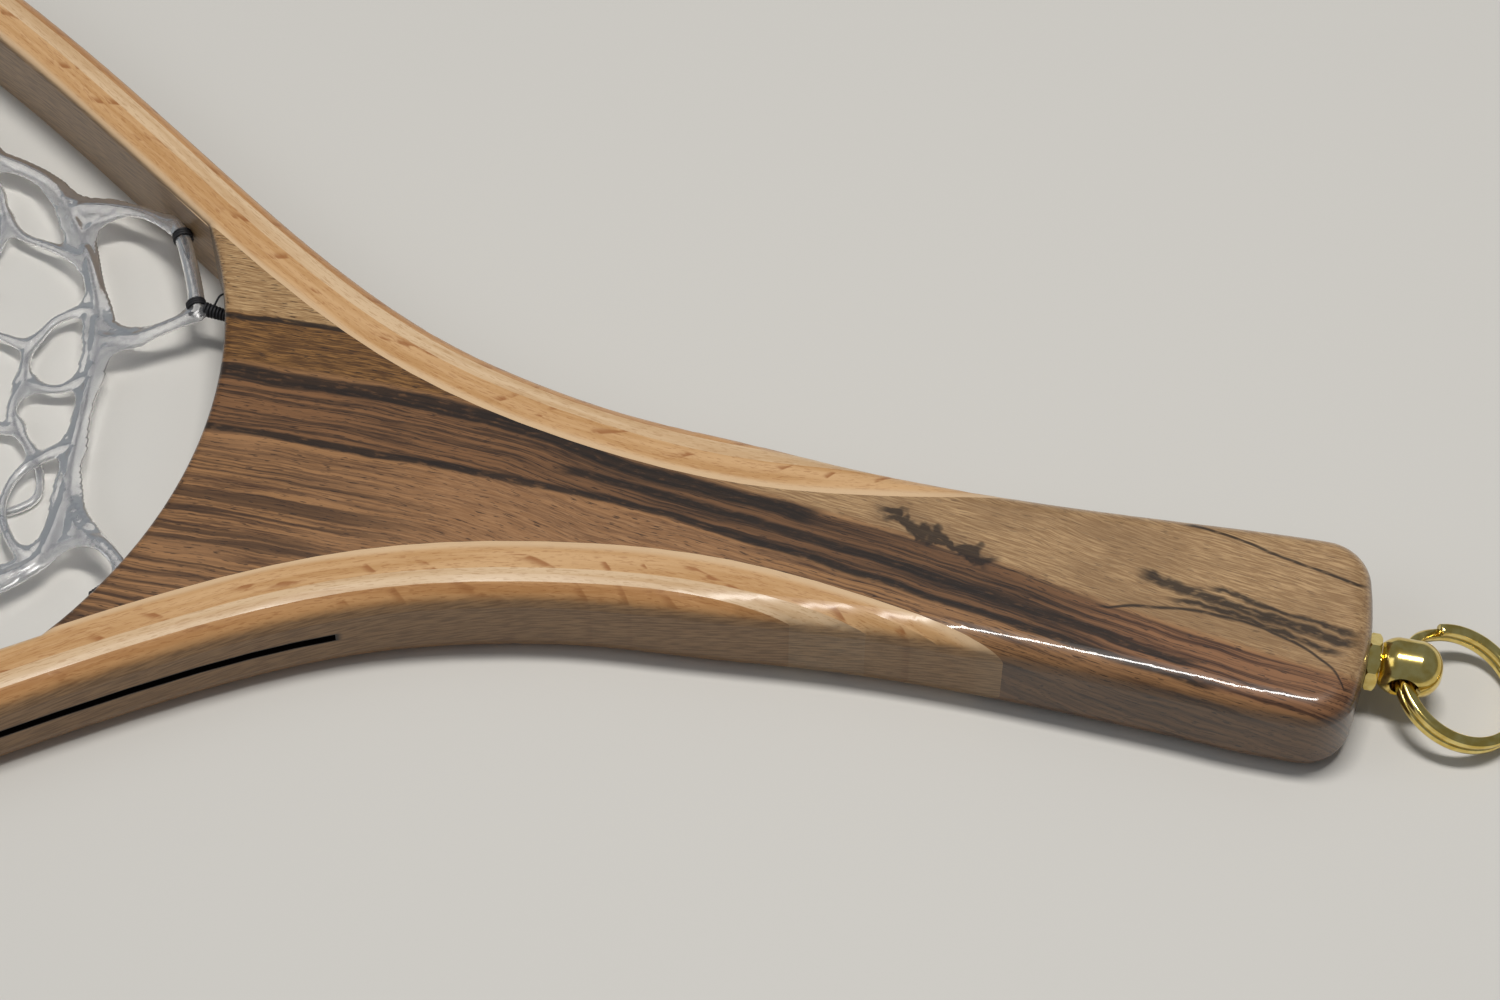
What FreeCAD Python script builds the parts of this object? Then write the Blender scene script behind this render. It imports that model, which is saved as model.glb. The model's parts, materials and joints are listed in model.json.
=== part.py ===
"""Trout landing net: laminated beech hoop round a walnut handle, rubber bag, brass swivel and ring.

The net lies flat.  +X runs along the handle towards its butt, +Z is up and z = 0 is the underside.
Everything is first laid out with x = 0 at the butt's end face; the whole model is then centred.
"""
import FreeCAD
import Part
import math
import os

Vector = FreeCAD.Vector
UP = Vector(0, 0, 1)
ALONG = Vector(1, 0, 0)
ACROSS = Vector(0, 1, 0)

# ---------------------------------------------------------------- driving dimensions, mm
THICKNESS = 19.0            # handle and hoop, top to bottom
MID = THICKNESS / 2
PLY = 3.0                   # one bent strip
PLIES = 4
HOOP_SPANS = 12             # edges that make up each long curve of the hoop
YOKE_SPANS = 2
BAR = PLY * PLIES           # the hoop's bar, inside to outside
STRIP_END = 0.3             # blunt end of a strip that runs out on the grip's side
OUTER_EDGE_RADIUS = 4.5     # hand-rounded edge of the outline
INNER_EDGE_RADIUS = 1.8     # eased edge round the opening

CROTCH_RADIUS = 96.8        # the yoke's arc, where the handle meets the opening
CROTCH_CENTRE_X = -318.3

HOOP_HALF_WIDTH = 126.0     # widest, to the inner face
WIDEST_X = -403.5
NOSE_LENGTH = 185.0         # from the widest place to the inside of the tip
SHOULDER_RADIUS = 188.0

BUTT_CORNER_RADIUS = 9.0
BUTT_HALF_WIDTH = 20.6
BUTT_DOME_RADIUS = 70.0     # the end face's gentle curve, in plan

GROOVE_WIDTH = 1.8          # lacing groove in the outermost strip
GROOVE_DEPTH = 2.3
GROOVE_START_X = -186.0
THREAD = 1.3                # lacing thread
TIE_HOLE = 1.9              # drilled hole for one lashing
SLANTED_STOP = 6.0          # the slanted lashing's thread stops this short of the groove's thread
HOLE_PAST_GROOVE_END = 1.5  # where the slanted hole meets the groove, beyond its first end
LEAD_BEND = 0.6             # a lashing's thread bends this far in front of its hole
TURN_GAP = 0.1              # lashing thread's slack round the rubber bar
THREAD_GAP = 0.1            # lacing thread to the groove's floor
CORD_BACK = 0.6             # lacing thread's end, back from the groove's end

RIM_INSET = 18.5            # the bag's rim, in from the hoop's inner face
RIM_SKEW = 3.5              # the bag lies nearer the +Y side by this much
RIM_WIDTH = 4.0
RIM_HEIGHT = 8.0
BAG_THICKNESS = 2.4         # the folded web of the bag, lying on the ground
LUG_RADIUS = 1.5            # round bar of a fastening lug
LUG_SPAN = 18.0             # between a lug's two lashings
LUG_GAP = 3.6               # lug bar's centre to the wood
LUG_OVERHANG = 2.8          # bar beyond each lashing, where the arm joins
LUG_ARM_SPREAD = 0.3        # share of the bar's half length that each foot stands further out
LUG_ARM_DROP = 0.4          # arm's top below the rim's top
HOOP_LUGS = 8
YOKE_TIE_X = -244.0         # the yoke lugs' lashing on the hoop
YOKE_TIE_Y = 35.5           # and on the yoke's arc

HEX_FLATS = 9.2             # the stud's hexagon
HEX_THICKNESS = 2.2
HEX_CHAMFER_WIDTH = 0.35    # how far in from the corners the hexagon's chamfers start
HEX_CHAMFER_FOOT = 0.4
HEX_CHAMFER_HEAD = 0.6
SHANK_RADIUS = 2.3
SHANK_LENGTH = 30.0
SHANK_POINT = 5.0
NECK_RADIUS = 1.8
HEAD_RADIUS = 3.1
HEAD_THICKNESS = 1.0

BARREL_RADIUS = 5.3
BARREL_NOSE_RADIUS = 4.1    # where the barrel's mouth meets the hexagon
BARREL_START_X = 2.4
BARREL_TAPER = 2.8
BARREL_LENGTH = 11.4
BARREL_DOME = 4.2           # its rounded end
BARREL_WALL = 0.9           # lip rolled in behind the stud's head
CAVITY_RADIUS = 3.4
CAVITY_LENGTH = 1.25
RUNNING_GAP = 0.05
EYE_X = 7.0                 # cross hole for the ring
EYE_RADIUS = 2.45
EYE_CHAMFER = 0.45

RING_RADIUS = 11.8          # middle of the ring's wire
RING_WIRE_WIDTH = 2.2
RING_WIRE_THICKNESS = 1.8   # one coil; the ring has two
RING_CORNER = 0.55
RING_OFFSET = 11.2          # ring's centre from the cross hole's axis
RING_DROOP = 19.0           # degrees: the ring's far side rests on the ground

# The strips' inner glue line beside the handle, as (x, half-width): it starts outside the grip's
# side, closes to a waist and opens along the yoke.
GLUE_LINE = [(-43, 29.0), (-65.5, 18.0), (-90, 12.0), (-120, 8.8), (-150, 11.6),
             (-185, 21.1), (-215, 36.8), (-258, 66.6)]
# The grip's side as (x, half-width), from the butt's corner to where the whole bar stands clear.
GRIP_SIDE = [(-28, 20.0), (-50, 18.8), (-75, 18.1), (-100, 18.9)]
BAR_CLEAR_X = -122.0
# The bag's rim as it lies in front of the yoke, as (x, y), from the -Y side to the +Y side.
YOKE_RIM = [(-268, -40), (-253, -31.5), (-246.5, -20), (-249, -3), (-252.5, 18), (-258, 37),
            (-265, 51), (-274, 63)]
RIM_LEAVES_HOOP_X = -289.0

EYE = Vector(EYE_X, 0, MID)


# ---------------------------------------------------------------- small tools
def mirrored(vector):
    return Vector(vector.x, -vector.y, vector.z)


def spline(points, **options):
    curve = Part.BSplineCurve()
    curve.interpolate(Points=points, **options)
    return curve


def polyline(points):
    return [Part.makeLine(a, b) for a, b in zip(points, points[1:])]


def prism(edges, bottom, top):
    """Closed outline, drawn at z = 0, raised into a solid from bottom to top."""
    wire = Part.Wire(Part.__sortEdges__(edges))
    face = Part.Face(wire)
    face.translate(UP * bottom)
    return face.extrude(UP * (top - bottom))


def spans(curve, start, end, count):
    """A long curve as several edges end to end, so that every face drawn from it stays short."""
    stops = [start + (end - start) * i / count for i in range(count + 1)]
    return [curve.toShape(a, b) for a, b in zip(stops, stops[1:])]


def rod(start, end, radius):
    run = end - start
    return Part.makeCylinder(radius, run.Length, start, run)


def normal_at(curve, parameter):
    """Unit normal of a plan curve, on the side away from the opening."""
    tangent = curve.tangent(parameter)[0]
    return Vector(tangent.y, -tangent.x, 0)


# ---------------------------------------------------------------- plan curves
def glue_curve():
    """The strips' inner face: one symmetrical curve from beside the handle, round the hoop."""
    half = [Vector(x, y, 0) for x, y in GLUE_LINE]
    for degrees in (33.4, 22, 11):
        angle = math.radians(degrees)
        half.append(Vector(WIDEST_X + SHOULDER_RADIUS * math.sin(angle),
                           HOOP_HALF_WIDTH - SHOULDER_RADIUS * (1 - math.cos(angle)), 0))
    for degrees in (0, 20, 40, 60, 78):
        angle = math.radians(degrees)
        half.append(Vector(WIDEST_X - NOSE_LENGTH * math.sin(angle),
                           HOOP_HALF_WIDTH * math.cos(angle), 0))
    tip = Vector(WIDEST_X - NOSE_LENGTH, 0, 0)
    other = [mirrored(point) for point in reversed(half)]
    return spline(half + [tip] + other)


GLUE = glue_curve()
GLUE_SAMPLES = 90


def offset_curve(distance):
    """Curve parallel to the glue line, further out for a positive distance."""
    if distance == 0:
        return GLUE
    first, last = GLUE.FirstParameter, GLUE.LastParameter
    points = []
    for i in range(GLUE_SAMPLES + 1):
        parameter = first + (last - first) * i / GLUE_SAMPLES
        points.append(GLUE.value(parameter) + normal_at(GLUE, parameter) * distance)
    return spline(points)


def parameter_at_x(curve, x):
    """Parameter of the +Y half's point at this x, by bisection towards the tip."""
    low = curve.FirstParameter
    high = (curve.FirstParameter + curve.LastParameter) / 2
    for _ in range(50):
        middle = (low + high) / 2
        if curve.value(middle).x > x:
            low = middle
        else:
            high = middle
    return low


def corner_parameter():
    """Where the yoke's arc meets the hoop's inner face."""
    low = parameter_at_x(GLUE, -200.0)
    high = parameter_at_x(GLUE, -255.0)
    centre = Vector(CROTCH_CENTRE_X, 0, 0)
    for _ in range(50):
        middle = (low + high) / 2
        if (GLUE.value(middle) - centre).Length > CROTCH_RADIUS:
            low = middle
        else:
            high = middle
    return low


CORNER = corner_parameter()
CORNER_POINT = GLUE.value(CORNER)


def mirror_parameter(curve, parameter):
    return curve.FirstParameter + curve.LastParameter - parameter


# ---------------------------------------------------------------- the wooden blank
def outline_edges():
    """Outside of the whole frame: domed butt, carved grip and the bent hoop."""
    corner = BUTT_CORNER_RADIUS
    level = BUTT_HALF_WIDTH - corner
    corner_x = -BUTT_DOME_RADIUS + math.sqrt((BUTT_DOME_RADIUS - corner) ** 2 - level ** 2)
    outward = math.atan2(level, corner_x + BUTT_DOME_RADIUS)
    centre = Vector(corner_x, level, 0)
    half_way = (outward + math.pi / 2) / 2
    corner_end = centre + Vector(math.cos(outward), math.sin(outward), 0) * corner
    corner_mid = centre + Vector(math.cos(half_way), math.sin(half_way), 0) * corner
    side_start = centre + Vector(0, corner, 0)
    side = [side_start] + [Vector(x, y, 0) for x, y in GRIP_SIDE]
    clear = parameter_at_x(GLUE, BAR_CLEAR_X)
    tip = (GLUE.FirstParameter + GLUE.LastParameter) / 2
    hoop_points = 26
    for i in range(hoop_points + 1):
        parameter = clear + (tip - clear) * i / hoop_points
        side.append(GLUE.value(parameter) + normal_at(GLUE, parameter) * BAR)
    whole = side + [mirrored(point) for point in reversed(side[:-1])]
    sides = spline(whole, InitialTangent=Vector(-1, 0, 0), FinalTangent=Vector(1, 0, 0))
    upper_corner = Part.Arc(corner_end, corner_mid, side_start).toShape()
    dome = Part.Arc(mirrored(corner_end), Vector(0, 0, 0), corner_end).toShape()
    lower_corner = Part.Arc(mirrored(side_start), mirrored(corner_mid), mirrored(corner_end)).toShape()
    side_edges = spans(sides, sides.FirstParameter, sides.LastParameter, HOOP_SPANS)
    return [upper_corner] + side_edges + [lower_corner, dome]


def opening_edges():
    """Inside of the hoop, closed by the yoke's arc."""
    hoop = spans(GLUE, CORNER, mirror_parameter(GLUE, CORNER), HOOP_SPANS)
    apex = Vector(CROTCH_CENTRE_X + CROTCH_RADIUS, 0, 0)
    arc = Part.Arc(CORNER_POINT, apex, mirrored(CORNER_POINT)).toShape()
    return hoop + [arc]


def frame_blank():
    outer = prism(outline_edges(), 0, THICKNESS)
    rims = [edge for edge in outer.Edges if abs(edge.tangentAt(edge.FirstParameter).z) < 0.5]
    outer = outer.makeFillet(OUTER_EDGE_RADIUS, rims)
    opening = prism(opening_edges(), -1, THICKNESS + 1)
    blank = outer.cut(opening)
    mouth = Part.Wire(Part.__sortEdges__(opening_edges()))
    eased = []
    for edge in blank.Edges:
        middle = edge.valueAt((edge.FirstParameter + edge.LastParameter) / 2)
        level = abs(edge.BoundBox.ZMax - edge.BoundBox.ZMin) < 1e-6
        on_mouth = mouth.distToShape(Part.Vertex(middle.x, middle.y, 0))[0] < 0.01
        if level and on_mouth:
            eased.append(edge)
    return blank.makeFillet(INNER_EDGE_RADIUS, eased)


def run_out(curve, outline):
    """Parameter where the strip outside this curve has thinned to its blunt end beside the grip."""
    low = curve.FirstParameter
    high = parameter_at_x(curve, BAR_CLEAR_X)
    for _ in range(30):
        middle = (low + high) / 2
        skin = curve.value(middle) + normal_at(curve, middle) * STRIP_END
        if outline.isInside(skin, 1e-6, True):
            high = middle
        else:
            low = middle
    return high


def strip_region(distance, outline):
    """Everything inside the curve at this distance, with the whole grip past the strip's end."""
    curve = offset_curve(distance)
    end = run_out(curve, outline)
    start = curve.value(end)
    beside = Vector(start.x, start.y + 20, 0)
    past_butt = Vector(40, start.y + 20, 0)
    closing = polyline([mirrored(start), mirrored(beside), mirrored(past_butt), past_butt, beside, start])
    edges = spans(curve, end, mirror_parameter(curve, end), HOOP_SPANS)
    return prism(edges + closing, -2, THICKNESS + 2)


def core_region():
    """The handle's share of the blank, between the two glue lines."""
    start = GLUE.value(GLUE.FirstParameter)
    upper = spans(GLUE, GLUE.FirstParameter, CORNER, YOKE_SPANS)
    lower = spans(GLUE, mirror_parameter(GLUE, CORNER), GLUE.LastParameter, YOKE_SPANS)
    inside = Vector(CORNER_POINT.x - 6, CORNER_POINT.y - 14, 0)
    past_butt = Vector(40, start.y + 10, 0)
    opening_side = polyline([CORNER_POINT, inside, mirrored(inside), mirrored(CORNER_POINT)])
    butt_side = polyline([mirrored(start), mirrored(past_butt), past_butt, start])
    return prism(upper + lower + opening_side + butt_side, -2, THICKNESS + 2)


def band(inner, outer, bottom, top, from_x):
    """Closed band between two parallel curves, round the hoop from one side of the yoke to the other."""
    edges = []
    ends = []
    for distance in (inner, outer):
        curve = offset_curve(distance)
        start = parameter_at_x(curve, from_x)
        end = mirror_parameter(curve, start)
        edges += spans(curve, start, end, HOOP_SPANS)
        ends.append((curve.value(start), curve.value(end)))
    edges.append(Part.makeLine(ends[0][0], ends[1][0]))
    edges.append(Part.makeLine(ends[0][1], ends[1][1]))
    return prism(edges, bottom, top)


# ---------------------------------------------------------------- lashings
def tie_places():
    """Each lashing as (point on the wood's inner face, direction into the wood)."""
    first = parameter_at_x(GLUE, YOKE_TIE_X)
    last = mirror_parameter(GLUE, first)
    total = GLUE.length(first, last)
    pitch = total / (HOOP_LUGS + 1)
    hoop = []
    for i in range(HOOP_LUGS):
        for side in (-1, 1):
            parameter = GLUE.parameterAtDistance(pitch * (i + 1) + side * LUG_SPAN / 2, first)
            hoop.append((GLUE.value(parameter), normal_at(GLUE, parameter)))
    arc_x = CROTCH_CENTRE_X + math.sqrt(CROTCH_RADIUS ** 2 - YOKE_TIE_Y ** 2)
    arc_tie = Vector(arc_x, YOKE_TIE_Y, 0)
    groove_end = offset_curve(BAR - GROOVE_DEPTH / 2)
    groove_point = groove_end.value(parameter_at_x(groove_end, GROOVE_START_X - HOLE_PAST_GROOVE_END))
    yoke = [(GLUE.value(first), normal_at(GLUE, first)),
            (arc_tie, (groove_point - arc_tie).normalize())]
    yoke_depths = [BAR - GROOVE_DEPTH / 2, (groove_point - arc_tie).Length]
    return hoop, yoke, yoke_depths


def lifted(point, height):
    return Vector(point.x, point.y, height)


def lashing(place, direction, depth, bar_direction):
    """One lashing: a turn of thread round the lug's bar, led through its hole to the groove."""
    centre = bar_end((place, direction))
    across = (direction - bar_direction * direction.dot(bar_direction)).normalize()
    turn_radius = LUG_RADIUS + THREAD / 2 + TURN_GAP
    turn = Part.makeTorus(turn_radius, THREAD / 2, centre, bar_direction)
    knot = centre + across * turn_radius
    mouth = lifted(place - direction * LEAD_BEND, MID)
    lead = rod(knot, mouth, THREAD / 2)
    bend = Part.makeSphere(THREAD / 2, mouth)
    through = rod(mouth, lifted(place + direction * depth, MID), THREAD / 2)
    return turn.multiFuse([lead, bend, through])


def bar_end(tie):
    place, direction = tie
    return lifted(place - direction * LUG_GAP, MID)


HOOP_TIES, YOKE_TIES, YOKE_DEPTHS = tie_places()


def lug_pairs():
    """Every lug's two ties, +Y yoke lug first, then round the hoop, then the -Y yoke lug."""
    pairs = [(YOKE_TIES[1], YOKE_TIES[0])]
    pairs += [(HOOP_TIES[i], HOOP_TIES[i + 1]) for i in range(0, len(HOOP_TIES), 2)]
    lower = [(mirrored(place), mirrored(direction)) for place, direction in YOKE_TIES]
    pairs.append((lower[0], lower[1]))
    return pairs


def tie_drillings():
    """All lashing holes, as (place, direction, depth)."""
    holes = [(place, direction, BAR - GROOVE_DEPTH / 2) for place, direction in HOOP_TIES]
    for (place, direction), depth in zip(YOKE_TIES, YOKE_DEPTHS):
        holes.append((place, direction, depth))
        holes.append((mirrored(place), mirrored(direction), depth))
    return holes


def drill(place, direction, depth):
    return rod(lifted(place - direction * 2, MID), lifted(place + direction * depth, MID), TIE_HOLE / 2)


def net_lashings():
    """Two to each lug: the +Y yoke lug's and the hoop's as drawn, the -Y yoke lug's by mirroring."""
    yoke_lug, *hoop_lugs = lug_pairs()[:-1]
    slanted, square = yoke_lug
    along = (bar_end(square) - bar_end(slanted)).normalize()
    full_depth = BAR - GROOVE_DEPTH - 0.2
    upper = [lashing(*slanted, YOKE_DEPTHS[1] - SLANTED_STOP, along),
             lashing(*square, full_depth, along)]
    solids = upper + [solid.mirror(Vector(0, 0, 0), ACROSS) for solid in upper]
    for first, second in hoop_lugs:
        along = (bar_end(second) - bar_end(first)).normalize()
        for tie in (first, second):
            solids.append(lashing(*tie, full_depth, along))
    return Part.makeCompound(solids)


# ---------------------------------------------------------------- bag
def rim_edges(shift):
    """The bag's rim as it lies: beside the hoop, then by hand past the yoke; shift moves it inwards."""
    first = parameter_at_x(GLUE, RIM_LEAVES_HOOP_X)
    last = mirror_parameter(GLUE, first)
    count = 22
    middle_line = []
    for i in range(count + 1):
        parameter = first + (last - first) * i / count
        point = GLUE.value(parameter)
        inset = RIM_INSET - RIM_SKEW * point.y / HOOP_HALF_WIDTH
        middle_line.append(point - normal_at(GLUE, parameter) * inset)
    middle_line += [Vector(x, y, 0) for x, y in YOKE_RIM]
    rim = spline(middle_line, PeriodicFlag=True)
    points = []
    samples = 60
    for i in range(samples):
        parameter = rim.FirstParameter + (rim.LastParameter - rim.FirstParameter) * i / samples
        points.append(rim.value(parameter) - normal_at(rim, parameter) * shift)
    edge_line = spline(points, PeriodicFlag=True)
    return spans(edge_line, edge_line.FirstParameter, edge_line.LastParameter, HOOP_SPANS)


def bag_web():
    """The bag's open web, folded down flat on the ground inside the rim."""
    return prism(rim_edges(RIM_WIDTH / 2), 0, BAG_THICKNESS)


def bag_rim():
    wall = prism(rim_edges(-RIM_WIDTH / 2), 0, RIM_HEIGHT)
    return wall.cut(prism(rim_edges(RIM_WIDTH / 2), -1, RIM_HEIGHT + 1))


def bag_lugs(rim_solid):
    """Loops that stand off the rim: a bar beside the wood on two arms, one solid for each."""
    rim = Part.Wire(Part.__sortEdges__(rim_edges(0)))
    solids = []
    for first, second in lug_pairs():
        along = (bar_end(second) - bar_end(first)).normalize()
        ends = [bar_end(first) - along * LUG_OVERHANG, bar_end(second) + along * LUG_OVERHANG]
        middle = (ends[0] + ends[1]) * 0.5
        inward = (first[1] + second[1]).normalize() * -1
        bars = [rod(ends[0], ends[1], LUG_RADIUS)]
        for end in ends:
            target = end + inward * LUG_SPAN / 2 + (end - middle) * LUG_ARM_SPREAD
            foot = rim.distToShape(Part.Vertex(target.x, target.y, 0))[1][0][0]
            bars.append(rod(end, lifted(foot, RIM_HEIGHT - LUG_RADIUS - LUG_ARM_DROP), LUG_RADIUS))
            bars.append(Part.makeSphere(LUG_RADIUS, end))
        loop = bars[0].multiFuse(bars[1:])
        solids += loop.cut(rim_solid).Solids
    return Part.makeCompound(solids)


# ---------------------------------------------------------------- swivel and ring
def turned(profile, axis_point):
    """Solid of revolution about the swivel's axis, from (x, radius) corners."""
    points = [Vector(x, 0, MID + radius) for x, radius in profile]
    face = Part.Face(Part.Wire(polyline(points + [points[0]])))
    return face.revolve(axis_point, ALONG, 360)


AXIS_POINT = Vector(0, 0, MID)


def hexagon(flats, start, length):
    radius = flats / 2 / math.cos(math.pi / 6)
    corners = []
    for i in range(7):
        angle = math.radians(60 * i + 30)
        corners.append(Vector(start, radius * math.cos(angle), MID + radius * math.sin(angle)))
    return Part.Face(Part.Wire(polyline(corners))).extrude(ALONG * length)


def head_start():
    return BARREL_START_X + BARREL_WALL + 0.12


def swivel_stud():
    """Wood screw with a hexagon seated on the butt, a neck and the head that holds the barrel."""
    head = head_start()
    corner = HEX_FLATS / 2 / math.cos(math.pi / 6) + 0.1
    chamfer = turned([(0, 0), (0, HEX_FLATS / 2 + HEX_CHAMFER_WIDTH), (HEX_CHAMFER_FOOT, corner),
                      (HEX_THICKNESS - HEX_CHAMFER_HEAD, corner), (HEX_THICKNESS, HEX_FLATS / 2),
                      (HEX_THICKNESS, 0)], AXIS_POINT)
    collar = hexagon(HEX_FLATS, 0, HEX_THICKNESS).common(chamfer)
    shank = turned([(-SHANK_LENGTH, 0), (-SHANK_LENGTH + SHANK_POINT, SHANK_RADIUS),
                    (0.5, SHANK_RADIUS), (0.5, 0)], AXIS_POINT)
    neck = turned([(HEX_THICKNESS - 0.5, 0), (HEX_THICKNESS - 0.5, NECK_RADIUS), (head, NECK_RADIUS),
                   (head, HEAD_RADIUS), (head + HEAD_THICKNESS, HEAD_RADIUS),
                   (head + HEAD_THICKNESS, 0)], AXIS_POINT)
    return collar.fuse([shank, neck]).removeSplitter()


def swivel_barrel():
    """Turned barrel with a domed end, rolled in over the stud's head and cross-drilled."""
    end = BARREL_START_X + BARREL_LENGTH
    shoulder = end - BARREL_DOME
    start = BARREL_START_X
    edges = polyline([Vector(start, 0, MID + NECK_RADIUS + RUNNING_GAP),
                      Vector(start, 0, MID + BARREL_NOSE_RADIUS - 0.3),
                      Vector(start + 0.3, 0, MID + BARREL_NOSE_RADIUS)])
    swell = Part.Arc(Vector(start + 0.3, 0, MID + BARREL_NOSE_RADIUS),
                     Vector(start + 0.52 * BARREL_TAPER, 0, MID + BARREL_NOSE_RADIUS + 0.78),
                     Vector(start + BARREL_TAPER, 0, MID + BARREL_RADIUS)).toShape()
    dome_arc = Part.Arc(Vector(shoulder, 0, MID + BARREL_RADIUS),
                        Vector(shoulder + BARREL_DOME * 0.76, 0, MID + BARREL_RADIUS * 0.66),
                        Vector(end, 0, MID)).toShape()
    lip = start + BARREL_WALL
    cavity = lip + CAVITY_LENGTH
    edges += [swell,
              Part.makeLine(Vector(start + BARREL_TAPER, 0, MID + BARREL_RADIUS),
                            Vector(shoulder, 0, MID + BARREL_RADIUS)),
              dome_arc]
    edges += polyline([Vector(end, 0, MID), Vector(cavity, 0, MID),
                       Vector(cavity, 0, MID + CAVITY_RADIUS), Vector(lip, 0, MID + CAVITY_RADIUS),
                       Vector(lip, 0, MID + NECK_RADIUS + RUNNING_GAP),
                       Vector(start, 0, MID + NECK_RADIUS + RUNNING_GAP)])
    body = Part.Face(Part.Wire(edges)).revolve(AXIS_POINT, ALONG, 360)
    reach = BARREL_RADIUS + 1
    eye = Part.makeCylinder(EYE_RADIUS, 2 * reach, Vector(EYE_X, -reach, MID), ACROSS)
    flare = EYE_RADIUS + EYE_CHAMFER + 1
    mouths = []
    for side in (-1, 1):
        mouth = Part.makeCone(flare, EYE_RADIUS - 0.01, EYE_CHAMFER + 1.01,
                              Vector(EYE_X, side * (BARREL_RADIUS + 0.55), MID), ACROSS * -side)
        mouths.append(mouth)
    return body.cut(eye.multiFuse(mouths))


def split_ring():
    """Two flat-sided coils lying on each other, drawn level and then tipped to rest on the ground."""
    centre = EYE + ALONG * RING_OFFSET
    coils = []
    for side in (-1, 1):
        middle = side * RING_WIRE_THICKNESS / 2
        width, height, corner = RING_WIRE_WIDTH / 2, RING_WIRE_THICKNESS / 2, RING_CORNER
        section = Part.makeBox(2 * width, 2 * height, 1, Vector(-width, -height, 0))
        section = section.makeFillet(corner, [e for e in section.Edges if abs(e.tangentAt(0).z) > 0.5])
        face = [f for f in section.Faces if f.BoundBox.ZMax < 0.5][0].copy()
        face.rotate(Vector(0, 0, 0), ALONG, 90)
        face.translate(centre + Vector(RING_RADIUS, 0, middle))
        coils.append(face.revolve(centre, UP, 360))
    ring = coils[0].fuse(coils[1]).removeSplitter()
    ring.rotate(EYE, ACROSS, RING_DROOP)
    return ring


# ---------------------------------------------------------------- assembly
def build():
    blank = frame_blank()
    groove = band(BAR - GROOVE_DEPTH, BAR + 2, MID - GROOVE_WIDTH / 2, MID + GROOVE_WIDTH / 2,
                  GROOVE_START_X)
    drillings = [drill(*hole) for hole in tie_drillings()]
    core_share = core_region()
    outline = Part.Face(Part.Wire(Part.__sortEdges__(outline_edges())))
    inside = [strip_region(PLY * count, outline) for count in range(1, PLIES)]

    strips = {
        "inner_ply": blank.common(inside[0]).cut(core_share),
        "second_ply": blank.common(inside[1]).cut(inside[0]),
        "third_ply": blank.common(inside[2]).cut(inside[1]),
        "outer_ply": blank.cut(inside[2]).cut(groove),
    }
    stud = swivel_stud()
    core = blank.common(core_share).cut(stud)

    nodes = {"handle_core": core}
    nodes.update(strips)
    for name in list(nodes):
        nodes[name] = nodes[name].cut(drillings)
    cord_floor = BAR - GROOVE_DEPTH + THREAD_GAP
    nodes["lacing_cord"] = band(cord_floor, cord_floor + THREAD,
                                MID - THREAD / 2, MID + THREAD / 2, GROOVE_START_X - CORD_BACK)
    nodes["bag_web"] = bag_web()
    nodes["bag_rim"] = bag_rim()
    nodes["bag_lugs"] = bag_lugs(nodes["bag_rim"])
    nodes["net_lashings"] = net_lashings()
    nodes["swivel_stud"] = stud
    nodes["swivel_barrel"] = swivel_barrel()
    nodes["split_ring"] = split_ring()
    return nodes


def main():
    os.makedirs("parts", exist_ok=True)
    nodes = build()
    hoop_tip = WIDEST_X - NOSE_LENGTH - BAR
    ring_box = nodes["split_ring"].optimalBoundingBox(False, False)
    centring = Vector(-(hoop_tip + ring_box.XMax) / 2, 0, 0)
    for name, shape in nodes.items():
        shape.translate(centring)
        shape.exportStep("parts/" + name + ".step")
        print(name, shape.ShapeType, "solids", len(shape.Solids), "valid", shape.isValid(),
              "volume", round(shape.Volume, 2))
    print("centring", round(centring.x, 4), "ring", round(ring_box.XMax, 4), round(ring_box.ZMin, 4))


main()
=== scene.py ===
import functools
import json
import math
from collections import Counter

import bpy
import numpy as np
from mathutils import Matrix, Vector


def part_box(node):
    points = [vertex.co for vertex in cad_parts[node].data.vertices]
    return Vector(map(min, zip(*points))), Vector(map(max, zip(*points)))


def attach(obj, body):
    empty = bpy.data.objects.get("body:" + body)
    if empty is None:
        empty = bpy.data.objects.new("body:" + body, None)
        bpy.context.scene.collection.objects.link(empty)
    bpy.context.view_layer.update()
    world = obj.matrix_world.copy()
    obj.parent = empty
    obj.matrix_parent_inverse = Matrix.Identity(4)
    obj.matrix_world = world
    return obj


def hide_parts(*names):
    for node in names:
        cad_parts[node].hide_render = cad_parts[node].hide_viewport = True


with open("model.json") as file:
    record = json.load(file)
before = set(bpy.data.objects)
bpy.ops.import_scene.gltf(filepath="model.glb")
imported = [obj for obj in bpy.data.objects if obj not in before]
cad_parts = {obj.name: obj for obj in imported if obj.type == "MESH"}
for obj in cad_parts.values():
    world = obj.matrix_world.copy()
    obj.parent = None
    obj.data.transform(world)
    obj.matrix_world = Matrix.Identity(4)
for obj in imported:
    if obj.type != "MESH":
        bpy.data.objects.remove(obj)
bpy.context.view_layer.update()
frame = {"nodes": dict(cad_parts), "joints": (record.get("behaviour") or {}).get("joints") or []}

import openvdb
from mathutils import Matrix, Vector
from mathutils.geometry import delaunay_2d_cdt
from numpy.linalg import norm

MM = 0.001
SCENE = bpy.context.scene
NODES = frame["nodes"]
CORE_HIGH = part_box("handle_core")[1]
BUTT_X = CORE_HIGH.x  # the butt's end face, on the swivel's axis
TOP = CORE_HIGH.z
MID = TOP / 2
EYE = Vector(next(joint["pos_m"] for joint in frame["joints"] if joint["name"] == "ring_swing"))


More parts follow.
